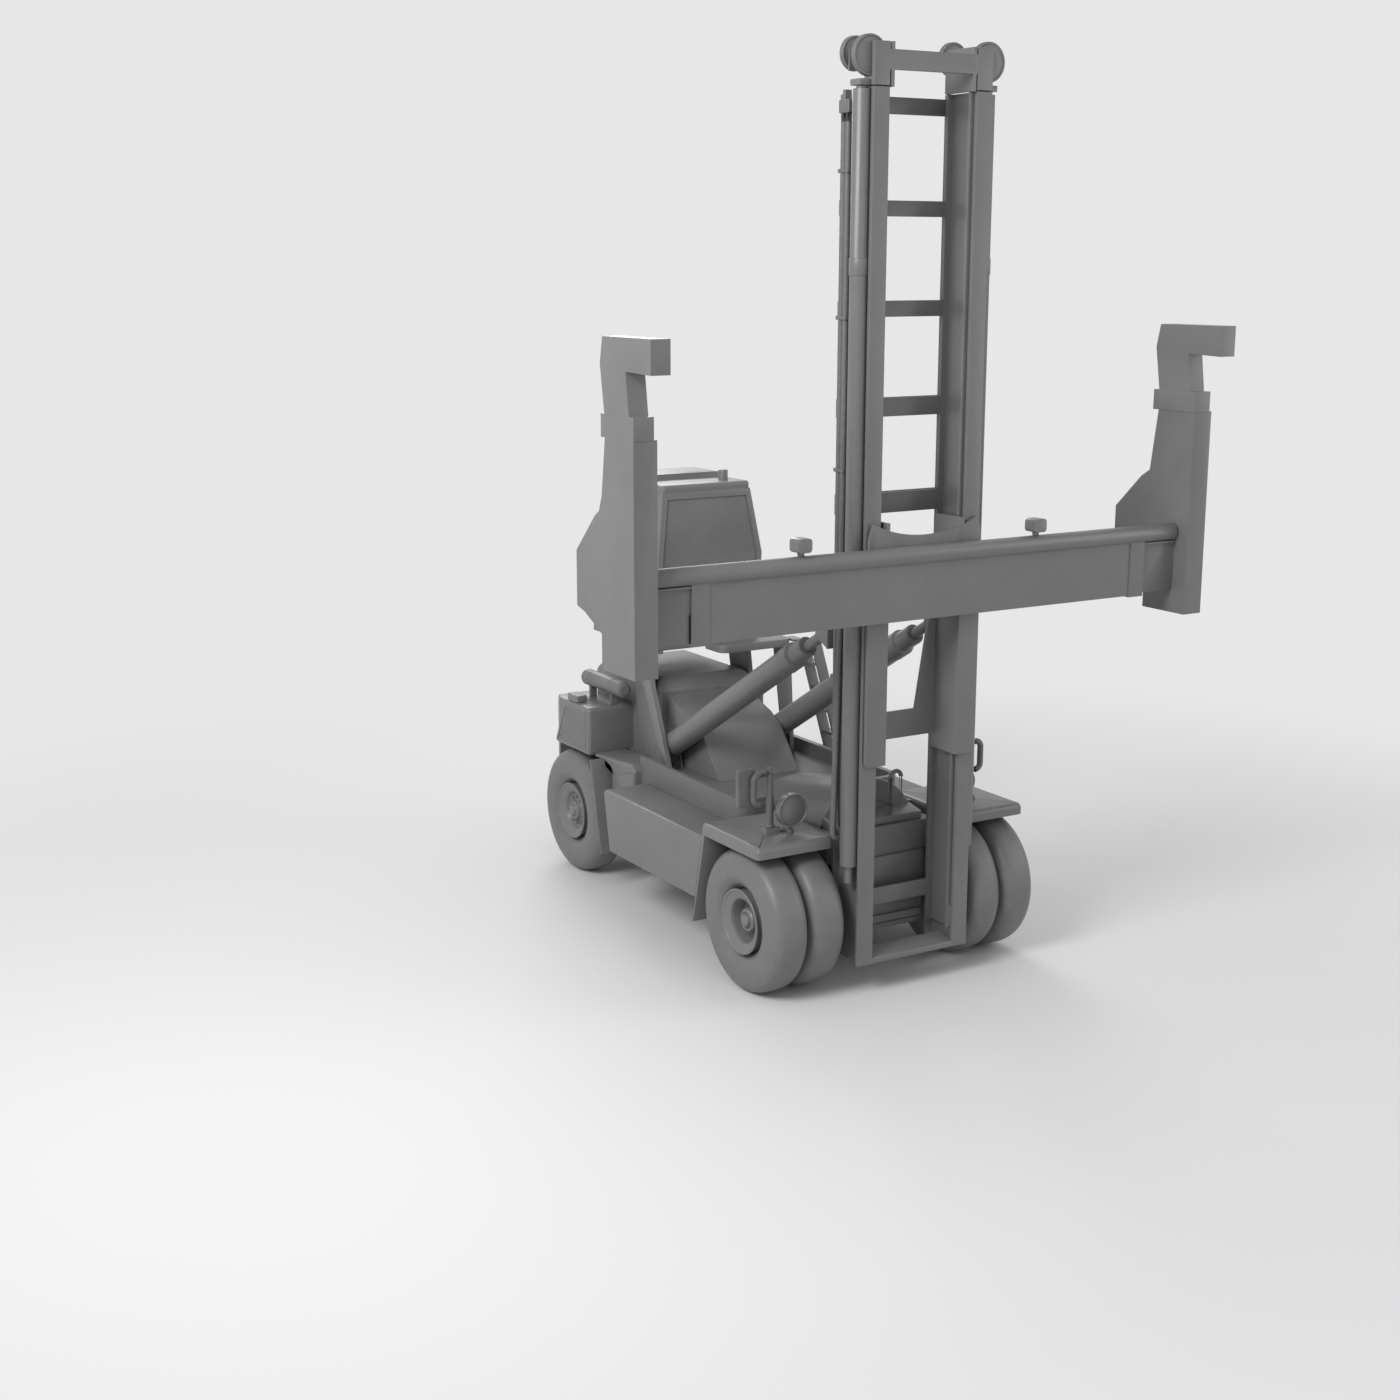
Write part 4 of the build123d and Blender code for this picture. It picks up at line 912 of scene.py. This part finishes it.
def vault(front, rear, half, rise_front, rise_rear, edge=0.025):
    """Return the grid of a closed vault whose arch is part of a circle.

    At a distance s from the middle the arch is at rise - R + sqrt(R * R - s * s), where the circle's radius R
    is (half * half + rise * rise) / (2 * rise). Its two end faces are drawn in over a rounded edge.
    """
    turn = np.linspace(0, pi / 2, 6)
    rows = [(front, None)] + [(front + edge * (1 - sin(t)), edge * (1 - cos(t))) for t in turn[::-1]]
    rows += [(front + (rear - front) * share, 0.0) for share in np.linspace(0.1, 0.9, 9)]
    rows += [(rear - edge * (1 - sin(t)), edge * (1 - cos(t))) for t in turn] + [(rear, None)]
    across = half * np.sin(np.linspace(-pi / 2, pi / 2, 49))
    layers = []
    for place, amount in rows:
        rise = rise_front + (rise_rear - rise_front) * (place - front) / (rear - front)
        circle = (half * half + rise * rise) / (2 * rise)
        arch = rise - circle + np.sqrt(np.maximum(circle ** 2 - across ** 2, 0))
        top = np.stack([across, DECK + 0.020 + arch], axis=1)
        outline = np.concatenate([top, [(half, DECK), (-half, DECK)]])
        layers.append(ringed(outline, [(back(place), amount)], across=1)[0])
    return np.stack(layers)


shelf = rounded(profile_of((0.570, DECK - 0.002), (0.570, 1.450), (0.770, 1.490), (0.770, DECK - 0.002)),
                SHELF_EDGE, steps=4)
handhold = bent([(0.160, 1.440), (0.160, 1.860), (0.279, 1.860), (0.279, 1.440)], 0.055)
cover_grids = [vault(front=0.750, rear=1.950, half=0.520, rise_front=0.390, rise_rear=0.165),
               ringed(shelf, rim_rings(-SHELF_HALF, SHELF_HALF, SHELF_EDGE, 4), across=0),
               tube(upright(handhold, back(HANDHOLD_Y)), HANDHOLD_RADIUS)]
skin("front_cover_skin", cover_grids, "chassis", "machine_paint", ["front_cover"], round_columns=True)

# %% [markdown]
# A plate closes the space behind the step on the nose, and its face carries the two bars that a boot stands
# on.

# %% Step plate
STEP_HALF, STEP_EDGE = 0.450, 0.004
BAR_HEIGHTS = (0.500, 0.690)

step_outline = rounded(profile_of((0.512, 0.405), (0.512, 0.765), (0.538, 0.765), (0.538, 0.405)), STEP_EDGE,
                       steps=3)
step_grids = [ringed(step_outline, rim_rings(-STEP_HALF, STEP_HALF, STEP_EDGE, 3), across=0)]
for bar_z in BAR_HEIGHTS:
    step_grids.append(plump((0, back(0.502), bar_z), (2 * STEP_HALF, 0.036, 0.070), power=0.12))
skin("step_plate", step_grids, "chassis", "machine_paint", round_columns=True)

# %% [markdown]
# Two hoses are clipped to the outside of each fixed rail. They come down from its head and turn back up in a
# short loop above the fender. The hoses are fixed at both ends, so none hangs free.

# %% Hoses on the mast
HOSE_RADIUS = 0.029
HOSE_TOP = 7.700
HOSES = ((0.0, 1.480), (0.062, 1.560))     # shift back and lowest point of the two on each side
CLIPS_Y = 0.331
CLIP_HEIGHTS = (2.900, 3.515, 4.715, 6.000, 7.200)


def hose_path(side, shift, low):
    """Return a hose's points: down the rail, out over the fender, and round a loop that starts at low.

    The straight run at the top gets forty points of its own. A hose lies 0.250 back at its loop and goes
    back by 0.050 and its shift, in step with the height, up to the place where it meets the rail.
    """
    corners = [(0.647, HOSE_TOP), (0.647, 3.400), (0.700 - shift * 0.2, 2.200), (0.735 - shift * 0.7, low),
               (0.655 - shift * 0.2, low - 0.050), (0.648, low + 0.240)]
    line = bent(corners, 0.045, steps=12)
    line = np.concatenate([np.linspace(line[0], line[1], 40, endpoint=False), line[1:]])
    height = np.clip((line[:, 1] - 1.5) / 1.9, 0, 1)
    return upright(line, back(0.250 + (0.050 + shift) * height), side)


hose_grids = []
for side in SIDES.values():
    hose_grids += [tube(hose_path(side, shift, low), HOSE_RADIUS) for shift, low in HOSES]
    hose_grids.append(plump((side * 0.645, back(CLIPS_Y), 7.715), (0.070, 0.150, 0.110), power=0.2))
    for clip_z in CLIP_HEIGHTS:
        hose_grids.append(plump((side * 0.632, back(CLIPS_Y), clip_z), (0.100, 0.150, 0.034), power=0.15))
skin("mast_hose_skins", hose_grids, "mast_outer", "hose_rubber", ["mast_hoses"], round_columns=True)

# %% [markdown]
# The spreader's tube reaches past the housing over both arms' beams. A thin flat strip welded under each end
# closes the slit between the tube and the beam and leaves the beam free to slide.

# %% Strips under the tube
STRIP_MIDDLE = (2.615, -0.126, 3.9145)     # across, back, height
STRIP_SIZE = (0.370, 0.100, 0.016)

strips = []
for side in SIDES.values():
    middle = (side * STRIP_MIDDLE[0], back(STRIP_MIDDLE[1]), STRIP_MIDDLE[2])
    strips.append(plump(middle, STRIP_SIZE, power=0.1))
skin("tube_strips", strips, body_of("spreader_beam"), "machine_paint", round_columns=True)

# %% [markdown]
# The driver's seat is the one soft piece. The formula for swollen blocks gives its cushions too, with a
# higher power for fuller sides, and a shallow dip across each makes the sewn channel. It stands on a plain
# pedestal.

# %% Seat
skin("seat_pedestal", plump((0, back(4.49), 2.785), (0.36, 0.32, 0.33), power=0.2), "chassis", "trim_plastic",
     ["cab_seat"], round_columns=True)
cushion = plump((0, back(4.48), 3.015), (0.50, 0.48, 0.13), channel=0.008)
backrest = plump((0, back(4.755), 3.41), (0.48, 0.66, 0.11), lean=79.7, channel=0.006)
for part, grid in (("seat_cushion", cushion), ("seat_back", backrest)):
    pad = skin(part, grid, "chassis", "seat_fabric", round_columns=True)

# %% [markdown]
# The rest of the steelwork is flat plate and rolled section, right in its CAD form. Each part only gets its
# edges rounded, by more on castings and by less on thin plate.

# %% Soften the steelwork
SOFT_EDGES = {
    0.004: ["outer_uprights", "inner_uprights", "inner_ties", "inner_head", "tilt_brackets", "ladder",
            "knuckle_left", "knuckle_right", "lift_barrels"],
    0.006: ["chassis_frame", "cab_legs", "outer_ties", "carriage_frame", "spreader_beam",
            "beam_lamps", "inner_beam_left", "inner_beam_right", "cab_shell", "cab_door", "steer_axle_beam",
            "front_axle_beam"],
    0.010: ["cab_platform", "arm_left", "arm_right"],
    0.014: ["engine_hood", "side_tanks", "cab_roof"],
    0.018: ["counterweight"],
}
for width, names in SOFT_EDGES.items():
    for name in names:
        softened(name, width)
print("softened:", sum(len(names) for names in SOFT_EDGES.values()))

# %% [markdown]
# A large key lamp stands ahead on the right, a weaker one fills from the left and a third lights the rear
# edges. They are wide, so their shadows are soft.

# %% Lamps


def area_lamp(name, place, target, size, power):
    """Add a square area lamp at place that faces target."""
    data = bpy.data.lights.new(name, "AREA")
    data.size = size
    data.energy = power
    panel = bpy.data.objects.new(name, data)
    panel.location = place
    panel.rotation_euler = (Vector(target) - Vector(place)).to_track_quat("-Z", "Y").to_euler()
    bpy.context.scene.collection.objects.link(panel)


area_lamp("key", place=(-13, -6, 12), target=(0, 0, 2), size=6, power=1750)
area_lamp("fill", place=(12, -10, 8), target=(0, 0, 3), size=9, power=420)
area_lamp("rim", place=(4, 14, 12), target=(0, 0, 3), size=8, power=950)
print("lamps:", len(bpy.data.lights))

# %% [markdown]
# The studio is pale. Rays that show it, straight to the camera, in a shiny surface or through glass, meet a
# backdrop near white. The light that the world gives is weaker, so the machine's greys keep their tone.

# %% The world
BACKDROP = 0.8
WORLD_LIGHT = 0.52


def showing_ray(shading):
    """Return 1 for a ray that shows the backdrop to the camera, and 0 for one that only lights."""
    ray = shading.node("ShaderNodeLightPath", {}, {}, output="Is Camera Ray")
    for kind in ("Is Glossy Ray", "Is Transmission Ray"):
        ray = ray.math("MAXIMUM", shading.node("ShaderNodeLightPath", {}, {}, output=kind))
    return ray


world = bpy.data.worlds.new("studio")
world.use_nodes = True
bpy.context.scene.world = world
sky = Shading(world.node_tree)
background = sky.tree.nodes["Background"]
background.inputs["Color"].default_value = grey(1.0)
limits = {"Value": showing_ray(sky), "To Min": WORLD_LIGHT, "To Max": BACKDROP}
strength = sky.node("ShaderNodeMapRange", {}, limits)
sky.tree.links.new(strength.socket, background.inputs["Strength"])
print("world light", WORLD_LIGHT, "backdrop", BACKDROP)

# %% [markdown]
# The floor is matt and keeps the machine's shadow. Between two rings round the machine it turns into a plain
# glow as bright as the backdrop, so no horizon shows.

# %% The floor
FLOOR_HALF = 60.0
FLOOR_GREY = 0.72
FADE_FROM, FADE_TO = 4.5, 13.0

floor_mesh = bpy.data.meshes.new("floor")
corners = [(-FLOOR_HALF, -FLOOR_HALF, 0), (FLOOR_HALF, -FLOOR_HALF, 0), (FLOOR_HALF, FLOOR_HALF, 0),
           (-FLOOR_HALF, FLOOR_HALF, 0)]
floor_mesh.from_pydata(corners, [], [(0, 1, 2, 3)])
floor = bpy.data.objects.new("floor", floor_mesh)
bpy.context.scene.collection.objects.link(floor)
ground = Finish("floor_paint", Roughness=0.7)
ground.shader.inputs["Base Color"].default_value = grey(FLOOR_GREY)
distance = ground.node("ShaderNodeVectorMath", {"operation": "LENGTH"}, [ground.place], output="Value")
far = distance.step(FADE_FROM, FADE_TO) * showing_ray(ground)
glow = ground.node("ShaderNodeEmission", {}, {"Color": grey(1.0), "Strength": BACKDROP})
matt = Value(ground, ground.shader.outputs[0])
joined = ground.node("ShaderNodeMixShader", {}, [far, matt, glow])
ground.tree.links.new(joined.socket, ground.tree.nodes["Material Output"].inputs["Surface"])
floor_mesh.materials.append(ground.material)
print("floor fades from", FADE_FROM, "to", FADE_TO)
